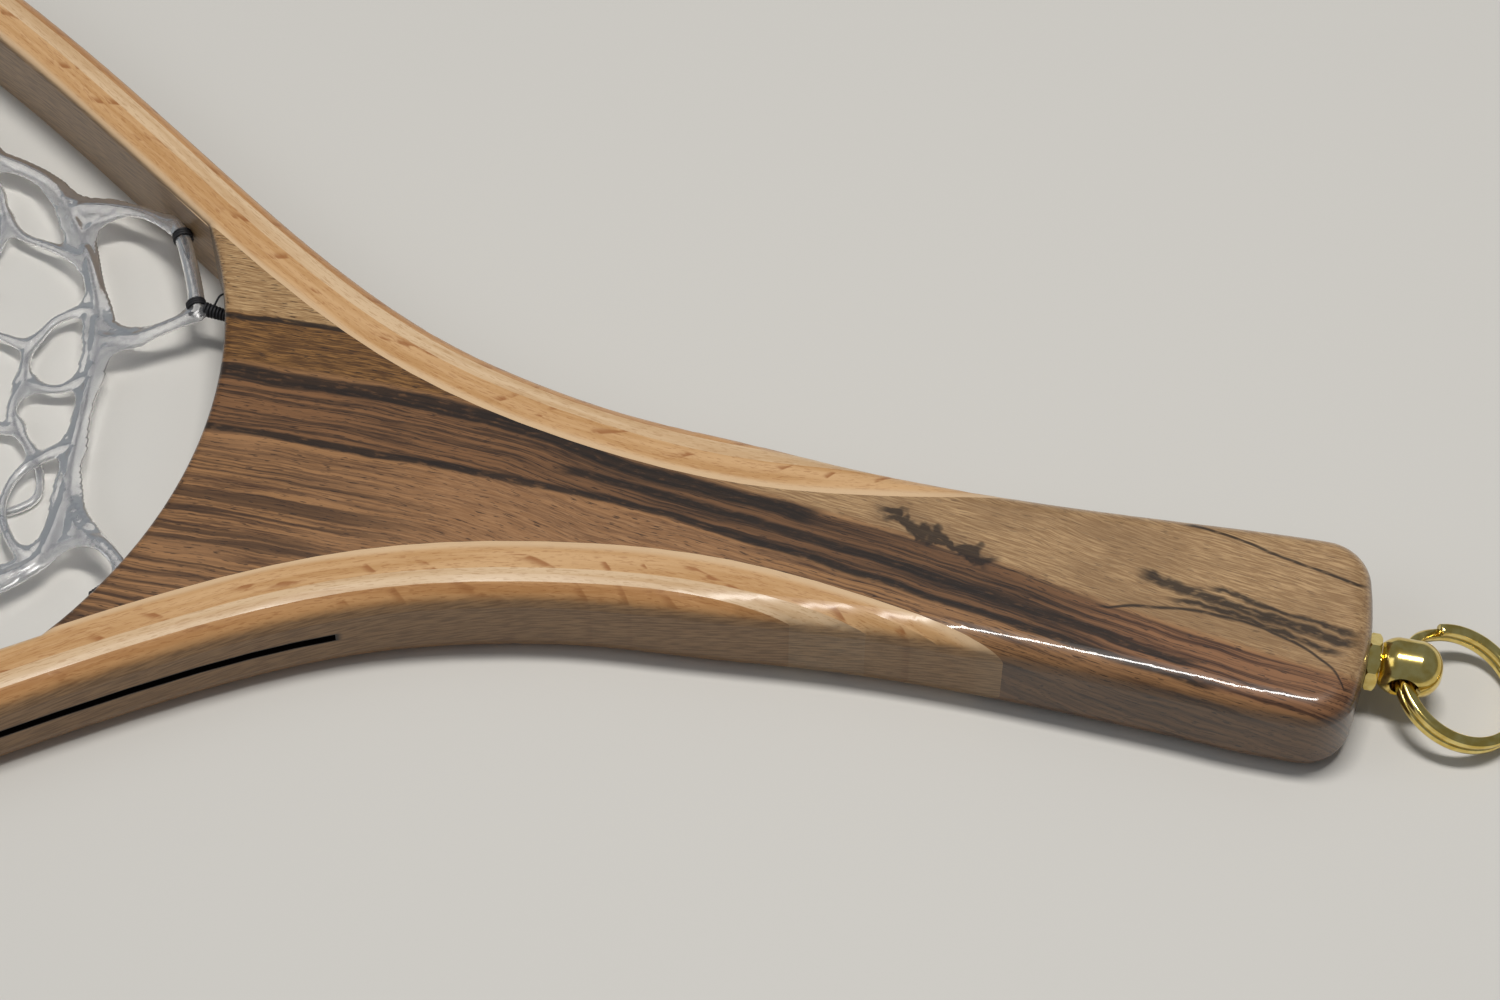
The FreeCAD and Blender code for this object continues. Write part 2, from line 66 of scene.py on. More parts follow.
def at_butt(x, y):
    """A place on the floor, given in millimetres from the butt's end face, in metres."""
    return Vector((BUTT_X + x * MM, y * MM, 0))


def linear(red, green, blue):
    """A colour as seen, 0 to 255, as the linear colour that a shader takes."""
    def one(value):
        value /= 255
        return value / 12.92 if value <= 0.04045 else ((value + 0.055) / 1.055) ** 2.4
    return (one(red), one(green), one(blue), 1.0)


# ---- camera, light and floor
def make_camera():
    """From above the near side of the handle, with the hoop running out of the picture."""
    azimuth, elevation, roll = math.radians(11.8), math.radians(52.62), math.radians(0.25)
    target = Matrix.Translation(at_butt(-119.6, 19.63))
    distance = Matrix.Translation((0, 0, 674.9 * MM))
    aim = Matrix.Rotation(azimuth, 4, "Z") @ Matrix.Rotation(math.pi / 2 - elevation, 4, "X")
    data = bpy.data.cameras.new("camera")
    data.sensor_width = 36.0
    data.lens = 84.0
    data.clip_start = 0.01
    camera = bpy.data.objects.new("camera", data)
    camera.matrix_world = target @ aim @ Matrix.Rotation(roll, 4, "Z") @ distance
    SCENE.collection.objects.link(camera)
    SCENE.camera = camera


def area_light(name, place, aim, size, watts, colour):
    """A rectangular light, its size given along x and across."""
    data = bpy.data.lights.new(name, "AREA")
    data.shape = "RECTANGLE"
    data.size, data.size_y = size
    data.energy = watts
    data.color = colour
    light = bpy.data.objects.new(name, data)
    light.location = place
    back = (Vector(place) - Vector(aim)).normalized()
    across = back.cross(Vector((1, 0, 0))).normalized()
    light.rotation_euler = Matrix((across.cross(back), across, back)).transposed().to_euler()
    SCENE.collection.objects.link(light)


def make_studio():
    middle = at_butt(-150, 0)
    area_light("overhead", middle + Vector((0.12, 0.1, 1.15)), middle, (0.5, 0.15), 10.0, (1.0, 0.98, 0.95))
    area_light("side_fill", middle + Vector((-0.9, -0.35, 0.9)), middle, (0.8, 0.8), 2.4, (0.95, 0.97, 1.0))
    world = bpy.data.worlds.new("studio")
    world.use_nodes = True
    background = world.node_tree.nodes["Background"]
    background.inputs["Color"].default_value = (0.86, 0.93, 1.0, 1.0)
    background.inputs["Strength"].default_value = 0.2
    SCENE.world = world
    SCENE.view_settings.view_transform = "Standard"


def make_floor():
    """A plain pale floor, a hair under the net so that their faces don't meet."""
    half, drop = 6.0, 0.05 * MM
    mesh = bpy.data.meshes.new("floor")
    corners = [(-half, -half, -drop), (half, -half, -drop), (half, half, -drop), (-half, half, -drop)]
    mesh.from_pydata(corners, [], [(0, 1, 2, 3)])
    floor = bpy.data.objects.new("floor", mesh)
    SCENE.collection.objects.link(floor)
    shade = Shade("floor", Roughness=0.62)
    shade.surface.inputs["Base Color"].default_value = linear(206, 203, 197)
    mesh.materials.append(shade.material)


# ---- shader tools
class Shade:
    """One material; most calls add nodes and return their output socket."""

    def __init__(self, name, **surface):
        self.material = bpy.data.materials.new(name)
        self.material.use_nodes = True
        self.tree = self.material.node_tree
        self.surface = self.tree.nodes["Principled BSDF"]
        for socket, value in surface.items():
            self.surface.inputs[socket.replace("_", " ")].default_value = value

    def feed(self, socket, value):
        """Link a socket, or set it to a plain value."""
        if isinstance(value, bpy.types.NodeSocket):
            self.tree.links.new(value, socket)
        else:
            socket.default_value = value

    def node(self, kind, **settings):
        node = self.tree.nodes.new("ShaderNode" + kind)
        for key, value in settings.items():
            setattr(node, key, value)
        return node

    def math(self, operation, first, second=0.0):
        node = self.node("Math", operation=operation)
        self.feed(node.inputs[0], first)
        self.feed(node.inputs[1], second)
        return node.outputs[0]

    def add(self, first, second):
        return self.math("ADD", first, second)

    def minus(self, first, second):
        return self.math("SUBTRACT", first, second)

    def times(self, *values):
        return functools.reduce(functools.partial(self.math, "MULTIPLY"), values)

    def most(self, *masks):
        return functools.reduce(functools.partial(self.math, "MAXIMUM"), masks)

    def size(self, value):
        return self.math("ABSOLUTE", value)

    def either(self, mask, first, second):
        """First where the mask is 0, second where it is 1."""
        return self.add(self.times(mask, second), self.times(self.minus(1, mask), first))

    def step(self, value, low, high):
        """0 before low, 1 after high, smooth between; falls instead if low is the larger."""
        node = self.node("MapRange", interpolation_type="SMOOTHSTEP")
        self.feed(node.inputs["Value"], value)
        if low > high:
            low, high = high, low
            node.inputs["To Min"].default_value = 1.0
            node.inputs["To Max"].default_value = 0.0
        self.feed(node.inputs["From Min"], low)
        self.feed(node.inputs["From Max"], high)
        return node.outputs[0]

    def mix(self, factor, first, second):
        node = self.node("Mix", data_type="RGBA")
        self.feed(node.inputs["Factor"], factor)
        self.feed(node.inputs[6], first)
        self.feed(node.inputs[7], second)
        return node.outputs[2]

    def tones(self, factor, first, second):
        """Between two colours as seen."""
        return self.mix(factor, linear(*first), linear(*second))

    def stain(self, base, amount, colour):
        """The base colour with this much of a colour as seen."""
        return self.mix(amount, base, linear(*colour))

    def vector(self, x, y, z=0.0):
        node = self.node("CombineXYZ")
        for socket, value in zip(node.inputs, (x, y, z)):
            self.feed(socket, value)
        return node.outputs[0]

    def noise(self, vector, scale=1.0, detail=2.0, distortion=0.0, rough=0.5):
        node = self.node("TexNoise")
        self.feed(node.inputs["Vector"], vector)
        settings = {"Scale": scale, "Detail": detail, "Roughness": rough, "Distortion": distortion}
        for socket, value in settings.items():
            node.inputs[socket].default_value = value
        return node.outputs[0]

    def grain(self, place, scales, **settings):
        """Noise stretched along the axes; with a scale of 1 a place may be a plain number."""
        scaled = [value if scale == 1 else self.times(value, scale) for value, scale in zip(place, scales)]
        return self.noise(self.vector(*scaled), **settings)

    def curve(self, value, points):
        """A smooth curve through (value, result) points, flat beyond both ends."""
        xs, ys = zip(*points)
        low_x, high_x, low_y, high_y = min(xs), max(xs), min(ys), max(ys)
        spread = max(high_y - low_y, 1e-6)
        node = self.node("FloatCurve")
        line = node.mapping.curves[0]
        while len(line.points) < len(points):
            line.points.new(0.5, 0.5)
        for knot, (x, y) in zip(line.points, sorted(points)):
            knot.location = ((x - low_x) / (high_x - low_x), (y - low_y) / spread)
            knot.handle_type = "AUTO"
        node.mapping.extend = "HORIZONTAL"
        node.mapping.update()
        self.feed(node.inputs["Value"], self.times(self.add(value, -low_x), 1 / (high_x - low_x)))
        return self.add(self.times(node.outputs[0], spread), low_y)

    def place(self):
        """Rest place as x, y, z in millimetres, x from the butt's end face."""
        split = self.node("SeparateXYZ")
        self.feed(split.inputs[0], self.node("TexCoord").outputs["Object"])
        x, y, z = split.outputs
        return [self.times(value, 1 / MM) for value in (self.add(x, -BUTT_X), y, z)]

    def upright(self):
        """Mask of the faces that stand up, 0 on the top and the underside."""
        normal = self.node("SeparateXYZ")
        self.feed(normal.inputs[0], self.node("TexCoord").outputs["Normal"])
        return self.step(self.size(normal.outputs[2]), 0.72, 0.3)

    def bump(self, height, distance, strength):
        node = self.node("Bump")
        node.inputs["Strength"].default_value = strength
        node.inputs["Distance"].default_value = distance
        self.feed(node.inputs["Height"], height)
        self.feed(self.surface.inputs["Normal"], node.outputs[0])

    def colour(self, value):
        self.feed(self.surface.inputs["Base Color"], value)


def dress(node, shade):
    """Give a CAD node this material in all its slots."""
    materials = NODES[node].data.materials
    if not len(materials):
        materials.append(shade.material)
    for index in range(len(materials)):
        materials[index] = shade.material


# ---- wood
# Millimetres from the butt.  The strips' inner glue line beside the handle and round the shoulders.
GLUE_LINE = [(-43, 29.0), (-65.5, 18.0), (-90, 12.0), (-120, 8.8), (-150, 11.6), (-185, 21.1), (-215, 36.8),
             (-258, 66.6), (-300, 94.9), (-333, 112.2), (-368, 122.6), (-403.5, 126)]
WIDEST_X = -403.5
HOOP_HALF_WIDTH = 126.0
NOSE_LENGTH = 185.0
HANDLE_RUN = 1.13  # along a strip for each millimetre of x before the nose
NOSE_RUN = 155.0  # along a strip for each radian round the nose
SIDES_APART = 700.0  # so that the two sides don't repeat each other
GROOVE_START_X = -186.0
GROOVE_HALF_WIDTH = 0.95
FLECK_PITCH = 16.5

# Light, middle and deep tones of each kind of strip.
PALE = (linear(214, 184, 147), linear(199, 164, 123), linear(164, 120, 76))
HONEY = (linear(206, 165, 118), linear(188, 143, 93), linear(148, 92, 46))
ORANGE = (linear(196, 148, 98), linear(176, 126, 76), linear(140, 86, 42))
# Upright faces: grain dashes in tones darkened as painted shade, and a painted shade colour towards the
# ground.
SIDE_LIGHT = linear(148, 115, 79)
SIDE_DARK = linear(104, 78, 51)
SIDE_PAINTED_SHADE = linear(58, 44, 30)
# Painted shadow in the lacing groove of the outer strip.
GROOVE_PAINTED_SHADOW = linear(22, 13, 9)


def strip_coordinates(shade):
    """Along a bent strip, across it from the glue line, and up, in millimetres."""
    x, y, z = shade.place()
    side = shade.size(y)
    on_nose = shade.math("LESS_THAN", x, WIDEST_X)
    across_handle = shade.minus(side, shade.curve(x, GLUE_LINE))
    along_handle = shade.times(x, -HANDLE_RUN)
    nose_x = shade.times(shade.add(x, -WIDEST_X), -1 / NOSE_LENGTH)
    nose_y = shade.times(side, 1 / HOOP_HALF_WIDTH)
    radius = shade.math("SQRT", shade.add(shade.times(nose_x, nose_x), shade.times(nose_y, nose_y)))
    across_nose = shade.times(shade.add(radius, -1), HOOP_HALF_WIDTH)
    turn = shade.math("ARCTAN2", nose_x, nose_y)
    along_nose = shade.add(shade.times(turn, NOSE_RUN), -HANDLE_RUN * WIDEST_X)
    across = shade.either(on_nose, across_handle, across_nose)
    along = shade.either(on_nose, along_handle, along_nose)
    return shade.add(along, shade.times(shade.math("SIGN", y), SIDES_APART)), across, z


def flecks(shade, along, across):
    """Mask of short dark flecks in a slanted, uneven row along the strip."""
    slanted = shade.add(along, shade.times(across, 1.8))
    wander = shade.noise(shade.vector(shade.times(along, 0.03), 0.5), detail=0)
    phase = shade.math("FRACT", shade.add(shade.times(slanted, 1 / FLECK_PITCH), shade.times(wander, 2.2)))
    patch = shade.grain((along, across, 2.0), (0.16, 0.5, 1), detail=2)
    line = shade.times(shade.step(phase, 0.0, 0.05), shade.step(phase, 0.26, 0.07))
    return shade.times(line, shade.step(patch, 0.42, 0.56))


def side_grain_and_painted_shade(shade, along, up):
    """Colour of the strips' upright faces: fine dashes of grain in tones darkened as painted shade, with
    more painted shade towards the ground.
    """
    climb = shade.add(up, shade.times(along, 0.12))
    dashes = shade.grain((along, climb, 1.0), (0.2, 2.2, 1), detail=3)
    side = shade.mix(shade.step(dashes, 0.35, 0.65), SIDE_DARK, SIDE_LIGHT)
    # Painted shade: the lowest part of each side is darkened.
    return shade.mix(shade.times(shade.step(up, 11.0, 1.0), 0.35), side, SIDE_PAINTED_SHADE)


def strip_wood(name, palette, fleck_share, pale_edge=0.0):
    """Steam-bent beech under lacquer: fine rays along the strip, soft colour bands, darker flecks, and
    painted shade on the upright faces.
    """
    light, middle, deep = palette
    shade = Shade(name, Roughness=0.42, Specular_IOR_Level=0.3, Coat_Weight=0.35, Coat_Roughness=0.2)
    along, across, up = strip_coordinates(shade)
    fine = shade.grain((along, across, up), (0.22, 2.6, 1.5), detail=3, distortion=0.3)
    broad = shade.grain((along, across, up), (0.02, 0.55, 0.22), detail=2)
    rays = shade.grain((along, across, up), (0.5, 4.2, 2.4), detail=1)
    colour = shade.mix(shade.step(broad, 0.35, 0.65), middle, light)
    colour = shade.mix(shade.times(shade.step(fine, 0.5, 0.72), 0.6), colour, light)
    colour = shade.mix(shade.times(shade.step(rays, 0.57, 0.66), 0.4), colour, deep)
    colour = shade.mix(shade.times(flecks(shade, along, across), fleck_share), colour, deep)
    colour = shade.mix(shade.times(shade.step(across, 2.1, 0.7), pale_edge), colour, PALE[0])
    # Upright faces take the side colour: the grain dashes are real, the darkening is painted shade.
    colour = shade.mix(shade.times(shade.upright(), 0.85), colour, side_grain_and_painted_shade(shade, along, up))
    shade.bump(fine, 0.02 * MM, 0.5)
    return shade, colour


def make_strips():
    plies = [("inner_ply", HONEY, 0.12, 0.75), ("second_ply", HONEY, 0.8, 0), ("third_ply", PALE, 0.12, 0)]
    for node, palette, fleck_share, pale_edge in plies:
        shade, colour = strip_wood(node + "_wood", palette, fleck_share, pale_edge)
        shade.colour(colour)
        dress(node, shade)
    shade, colour = strip_wood("outer_ply_wood", ORANGE, 0.55)
    x, _, up = shade.place()
    off_middle = shade.size(shade.add(up, -MID / MM))
    # Painted shadow: a dark band along the lacing groove.
    groove = shade.times(shade.step(off_middle, GROOVE_HALF_WIDTH + 0.25, GROOVE_HALF_WIDTH),
                         shade.step(x, GROOVE_START_X + 1.5, GROOVE_START_X))
    shade.colour(shade.mix(groove, colour, GROOVE_PAINTED_SHADOW))
    dress("outer_ply", shade)


# The walnut's figure, as (x, y) in millimetres on the top face.
GRAIN_FLOW = [(-232, 15.8), (-177, 15.7), (-138, 9.0), (-107, 5.1), (-68, -0.8), (-47, -5.5), (0, -13.0)]
HEART_EDGE = [(-236, 1.4), (-195, 1.3), (-152, 0.6), (-105, -5.1), (-63, -12.2), (-30, -18), (0, -22)]
RING_TILT = 0.55  # growth rings lean, so the figure shifts down the sides
# Its dark lines: points, half width, blur and, for a short line, how far its ends fade.
LONG_LINES = [
    ([(-232, 15.2), (-200, 15.2), (-177, 14.8), (-138, 7.9), (-107, 4.6)], 1.0, 1.5),
    ([(-236, 28.0), (-224, 28.2), (-211, 29.4), (-195, 29.8)], 0.3, 0.6),
    (HEART_EDGE[:6], 0.45, 0.8),
    ([(-150, 5.2), (-120, 1.6), (-90, -3.2), (-60, -8.6), (-34, -14)], 0.5, 0.9),
    ([(-35, 16.8), (-25, 15.0), (-17, 12.7), (-4, 9.6)], 0.15, 0.4, 3),
    ([(-48, -5.0), (-40, -3.0), (-31, -2.5), (-15, -5.2), (-8, -9.0), (-4, -14.1)], 0.12, 0.45, 3),
]
FUZZY_LINES = [
    ([(-41, 3.8), (-30, 1.0), (-18, -1.4), (-5, -3.6)], 0.6, 1.2, 4),
    ([(-34, -0.6), (-22, -2.6), (-8, -6.4)], 0.25, 0.8, 5),
    ([(-28, 3.4), (-16, 0.6), (-5, -1.2)], 0.2, 0.8, 4),
]
BLACK = (24, 16, 11)


def streak(shade, x, y, points, width, soft, fade=6.0):
    """Mask of a dark line through these points; soft is how far its edge blurs."""
    off = shade.size(shade.minus(y, shade.curve(x, points)))
    start, end = min(points)[0], max(points)[0]
    return shade.times(shade.step(off, width + soft, width),
                       shade.step(x, start - fade, start), shade.step(x, end + fade, end))


def squiggled(shade, x, y, amount, scale, seed):
    """y pushed up and down by a noise, to make a drawn line wander."""
    push = shade.grain((x, y, seed), (scale, scale, 1), detail=2)
    return shade.add(y, shade.times(shade.add(push, -0.5), amount))


def walnut_ground(shade, x, lane, below, cloud, thin, fibre):
    """Streaky brown, gold and pale sapwood beside the yoke, tan at the grip, pinkish between."""
    left = shade.step(x, -120, -155)
    right = shade.step(x, -165, -100)
    above = shade.step(lane, 0.2, 2.6)
    brown = shade.tones(shade.step(thin, 0.38, 0.6), (74, 48, 30), (150, 108, 68))
    brown = shade.stain(brown, shade.times(shade.step(cloud, 0.4, 0.7), 0.5), (158, 116, 78))
    colour = shade.stain(brown, shade.times(fibre, 0.3), (170, 126, 84))
    gold = shade.tones(fibre, (84, 55, 26), (146, 104, 56))
    gold = shade.stain(gold, shade.times(shade.step(thin, 0.5, 0.62), 0.5), (78, 50, 25))
    colour = shade.mix(shade.times(above, left), colour, gold)
    sapwood = shade.tones(fibre, (142, 108, 70), (190, 156, 112))
    colour = shade.mix(shade.times(shade.step(lane, 12.6, 14.2), left), colour, sapwood)
    tan = shade.tones(fibre, (146, 113, 77), (188, 154, 112))
    tan = shade.stain(tan, shade.times(shade.step(cloud, 0.42, 0.68), 0.6), (128, 98, 66))
    tan_share = shade.times(above, right)
    colour = shade.mix(tan_share, colour, tan)
    pink_share = shade.times(shade.step(x, -200, -165), shade.step(x, -95, -125),
                             shade.step(below, 0.0, -2.5), 0.6)
    pink = shade.tones(fibre, (134, 94, 60), (166, 124, 86))
    return shade.mix(pink_share, colour, pink), tan_share


def walnut_heart(shade, x, lane, below, thin, fibre, colour):
    """The dark band down the middle: middling at the yoke, deep, then reddish at the butt."""
    share = shade.times(shade.step(lane, 1.4, -0.2), shade.step(below, -1.0, 0.6))
    deep = shade.tones(shade.step(thin, 0.4, 0.62), (40, 26, 17), (106, 73, 46))
    deep = shade.stain(deep, shade.times(fibre, 0.22), (126, 88, 56))
    middling = shade.tones(shade.step(thin, 0.42, 0.6), (58, 38, 24), (122, 84, 52))
    middling = shade.stain(middling, shade.times(fibre, 0.3), (140, 100, 64))
    reddish = shade.tones(shade.step(thin, 0.4, 0.6), (66, 40, 26), (138, 96, 64))
    heart = shade.mix(shade.step(x, -180, -130), middling, deep)
    heart = shade.mix(shade.step(x, -62, -35), heart, reddish)
    return shade.mix(shade.times(share, 0.94), colour, heart)


def walnut_lines(shade, x, y, below, colour):
    """Black lines with ragged edges, and darker bands low on the yoke."""
    fuzzy = squiggled(shade, x, y, 2.2, 0.24, 3.0)
    lines = shade.most(*[streak(shade, x, y, *line) for line in LONG_LINES],
                       *[streak(shade, x, fuzzy, *line) for line in FUZZY_LINES])
    ragged = shade.step(shade.grain((x, y), (0.35, 1.1), detail=3), 0.3, 0.5)
    colour = shade.stain(colour, shade.times(lines, shade.add(0.52, shade.times(ragged, 0.36))), BLACK)
    low_left = shade.times(shade.step(below, -6, -9), shade.step(x, -165, -195))
    bands = shade.step(shade.grain((x, y, 8.0), (0.012, 0.6, 1), detail=3), 0.46, 0.58)
    return shade.stain(colour, shade.times(low_left, bands, 0.75), (60, 40, 26))


def walnut_blot(shade, x, y, colour):
    """The blot on the grip, in a smoky patch."""
    loop = squiggled(shade, x, y, 9.0, 0.24, 7.0)
    hook = squiggled(shade, x, y, 8.0, 0.3, 12.0)
    blot = shade.most(
        streak(shade, x, loop, [(-91, 8.4), (-84, 5.2), (-76, 2.6), (-71, 1.4)], 0.7, 1.3, 3),
        streak(shade, x, hook, [(-90, 7.0), (-82, 4.0), (-73, 0.4)], 0.35, 0.9, 3))
    smoke = streak(shade, x, y, [(-92, 8.0), (-83, 5.2), (-72, 1.0)], 1.2, 4.5, 4)
    colour = shade.stain(colour, shade.times(smoke, 0.35), (84, 60, 42))
    return shade.stain(colour, shade.times(blot, 0.85), BLACK)


def make_walnut():
    shade = Shade("figured_walnut", Roughness=0.42, Specular_IOR_Level=0.3, Coat_Weight=0.6,
                  Coat_Roughness=0.04)
    x, y, z = shade.place()
    y = shade.add(y, shade.times(shade.add(z, -TOP / MM), RING_TILT))
    wobble = shade.grain((x, y), (0.06, 0.15), detail=3)
    y = shade.add(y, shade.times(shade.add(wobble, -0.5), 2.2))
    lane = shade.minus(y, shade.curve(x, GRAIN_FLOW))
    below = shade.minus(y, shade.curve(x, HEART_EDGE))
    thin = shade.grain((x, lane, 4.0), (0.022, 1.15, 1), detail=4, rough=0.62)
    fine = shade.grain((x, lane, z), (0.2, 3.0, 1), detail=3, rough=0.6)
    cloud = shade.grain((x, y, 6.0), (0.035, 0.1, 1), detail=2)
    fibre = shade.step(fine, 0.38, 0.68)
    colour, tan_share = walnut_ground(shade, x, lane, below, cloud, thin, fibre)
    colour = walnut_heart(shade, x, lane, below, thin, fibre, colour)
    colour = walnut_lines(shade, x, y, below, colour)
    colour = walnut_blot(shade, x, y, colour)

    pores = shade.step(shade.grain((x, lane, z), (0.36, 3.2, 2.0), detail=1), 0.62, 0.68)
    pore_share = shade.times(pores, shade.add(0.75, shade.times(tan_share, -0.4)))
    colour = shade.stain(colour, pore_share, (40, 25, 16))
    # Painted shade: the walnut's upright faces are darkened.
    colour = shade.stain(colour, shade.times(shade.upright(), 0.5), (42, 29, 19))
    shade.colour(colour)
    shade.bump(shade.add(shade.times(fine, 0.4), shade.times(pores, -0.8)), 0.02 * MM, 0.4)
    dress("handle_core", shade)


# ---- brass
def make_brass(name, marks):
    """Polished brass, a little tarnished; marks is the scale of its fine tool marks along x."""
    shade = Shade(name, Metallic=1.0, Roughness=0.13)
    place = shade.place()
    lines = shade.grain(place, (marks, 0.2, 0.2), detail=2)
    tarnish = shade.noise(shade.vector(*place), scale=0.45, detail=3)
    shade.colour(shade.tones(shade.step(tarnish, 0.3, 0.7), (245, 224, 146), (222, 192, 102)))
    shade.feed(shade.surface.inputs["Roughness"], shade.add(0.09, shade.times(tarnish, 0.12)))
    shade.bump(lines, 0.01 * MM, 0.35)
    return shade


# ---- mesh tools
def new_piece(name, vertices, faces, shade, body):
    mesh = bpy.data.meshes.new(name)
    mesh.from_pydata(vertices, [], faces)
    mesh.update()
    mesh.shade_smooth()
    mesh.materials.append(shade.material)
    piece = bpy.data.objects.new(name, mesh)
    SCENE.collection.objects.link(piece)
    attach(piece, body)
    return piece


def unit(vector):
    return vector / norm(vector)


def heading(path):
    """Unit direction of travel at each point of a path."""
    ahead = np.gradient(path, axis=0)
    return ahead / norm(ahead, axis=1, keepdims=True)


def skin(rings, sides):
    """Faces round this many rings of corners, with a cap at both ends."""
    faces = []
    for i in range(rings - 1):
        for j in range(sides):
            k = (j + 1) % sides
            faces.append((i * sides + j, i * sides + k, (i + 1) * sides + k, (i + 1) * sides + j))
    last = (rings - 1) * sides
    return faces + [tuple(reversed(range(sides))), tuple(range(last, last + sides))]


def sweep(path, section, up):
    """Vertices and faces of a closed section, (sideways, upwards) points, carried along a path."""
    path = np.asarray(path, float)
    ahead = heading(path)
    side = np.cross(ahead, np.asarray(up, float))
    side /= norm(side, axis=1, keepdims=True)
    over = np.cross(side, ahead)
    rings = path[:, None] + side[:, None] * section[None, :, :1] + over[:, None] * section[None, :, 1:]
    return rings.reshape(-1, 3), skin(len(path), len(section))


def smooth_line(points, step=1.2):
    """Catmull-Rom curve through the points, sampled about every step."""
    points = np.asarray(points, float)
    padded = np.vstack([2 * points[0] - points[1], points, 2 * points[-1] - points[-2]])
    out = []
    for a, b, c, d in zip(padded, padded[1:], padded[2:], padded[3:]):
        count = max(2, int(math.ceil(norm(c - b) / step)))
        t = np.arange(count)[:, None] / count
        out.append(0.5 * (2 * b + (c - a) * t + (2 * a - 5 * b + 4 * c - d) * t ** 2
                          + (3 * b - a - 3 * c + d) * t ** 3))
    return np.vstack(out + [points[-1:]])


def cad_points(node):
    """A CAD node's corners in millimetres from the butt."""
    mesh = NODES[node].data
    flat = np.zeros(len(mesh.vertices) * 3)
    mesh.vertices.foreach_get("co", flat)
    return (flat.reshape(-1, 3) - (BUTT_X, 0, 0)) / MM


# ---- split ring
RING_RADIUS = 11.8 * MM
WIRE_WIDTH = 2.2 * MM
WIRE_THICKNESS = 1.8 * MM
LAYER_GAP = 0.04 * MM  # between the two turns, so that their faces don't meet
RING_DROOP = math.radians(19.0)
RING_OFFSET = 11.2 * MM
CUT_END_TURN = 118.0  # degrees round the ring from its far side, towards +Y
JOG_TURN = 42.0  # degrees over which the wire steps down a layer
END_GAP = 3.0  # degrees from the lower cut end to the jog
WIRE_STEPS = 260
SECTION_CORNERS = 20
SECTION_ROUNDNESS = 0.6  # power of the superellipse: 1 is an ellipse, less is squarer


def wire_section():
    """The flat wire's outline, a superellipse as (sideways, upwards) points."""
    angles = 2 * math.pi * np.arange(SECTION_CORNERS) / SECTION_CORNERS
    circle = np.column_stack([np.cos(angles), np.sin(angles)])
    size = (WIRE_WIDTH / 2, (WIRE_THICKNESS - LAYER_GAP) / 2)
    return np.copysign(np.abs(circle) ** SECTION_ROUNDNESS, circle) * size


def make_split_ring(shade):
    """Two turns of flat wire; the upper turn starts at its cut end and steps down after one turn."""
    outward = Vector((math.cos(RING_DROOP), 0, -math.sin(RING_DROOP)))
    across = Vector((0, 1, 0))
    normal = outward.cross(across)
    centre = EYE + outward * RING_OFFSET
    total = 720 - JOG_TURN - END_GAP
    path = []
    for i in range(WIRE_STEPS + 1):
        swept = total * i / WIRE_STEPS
        share = min(max((swept - (360 - JOG_TURN)) / JOG_TURN, 0), 1)
        layer = 1 - 2 * (share * share * (3 - 2 * share))
        angle = math.radians(CUT_END_TURN - swept)
        point = centre + (outward * math.cos(angle) + across * math.sin(angle)) * RING_RADIUS
        path.append(point + normal * layer * WIRE_THICKNESS / 2)
    vertices, faces = sweep(path, wire_section(), normal)
    ring = new_piece("split_ring_wire", vertices, faces, shade, "ring")
    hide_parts("split_ring")


# ---- rubber bag, as bars
# Everything here is in millimetres from the butt until the mesh is made.
FIELD_LOW = np.array([-586.0, -130.0, 0.0])
FIELD_HIGH = np.array([-224.0, 130.0, 12.0])
# Kinds of bar: radius of the round core, and how far the flat web reaches from its middle.
RIM = dict(radius=1.15, web=2.0)
BAR = dict(radius=0.62, web=0.7)
ARM = dict(radius=0.95, web=1.3)
LUG = dict(radius=1.45, web=1.2)
EDGE = dict(radius=0.35, web=0.5)
CELL = 18.5  # between the middles of the web's cells
CELL_ROW = 0.866 * CELL
CELL_JITTER = 3.4
JUNCTION_TO_RIM = 5.5  # a junction of bars stays at least this far inside the rim
RIM_REACH = 11.0  # one outside that, but this near, is moved onto the rim
BAR_BOW = 0.9
RIM_HEIGHT = 5.0
RIM_SAMPLES = 46  # round the hoop, beyond the part that shows
RIM_GAPS = (-0.16, 0.10)  # radians from that part's -Y and +Y ends to the hoop's line
RIM_WAVE = 0.5  # rise and fall of the hidden rim
SHOWN_END = (-250.0, -32.0)  # on the slanted line where the bars drawn one by one end
SHOWN_SLOPE = 0.3725
TURN_REACH = 3.4  # a lashing's turn lies this near to its middle
END_REACH = 0.5  # and its far end this near to its furthest corner
LUG_END = 2.2  # a hoop lug's bar past its ties
ARM_FOOT = (12, 6)  # from there to the rim, inwards and sideways
ARM_KNEE = (3.2, 1.2, 1.0)  # and to the arm's bend, inwards, sideways and down
ARM_BOW = 0.6
HOOP_CENTRE = np.array([-400.0, 0.0])
YOKE_LIMIT_X = -300.0  # the lugs nearer the handle than this are drawn one by one
YOKE_SLANTED_X = -238.0  # their lashings past this go into the yoke's arc
LEVEL = 0.02  # a corner this near to a height is at that height

# The rim as it shows beside the yoke, from the +Y side round to the -Y side.
YOKE_RIM = [(-288.5, 70), (-282.5, 68.5), (-276.5, 66), (-271.5, 61.5), (-264, 51), (-257.5, 39.5),
            (-253.5, 28), (-251, 14.5), (-249, 0.5), (-246.5, -13), (-246.5, -24), (-248.5, -28.5),
            (-252.5, -32)]
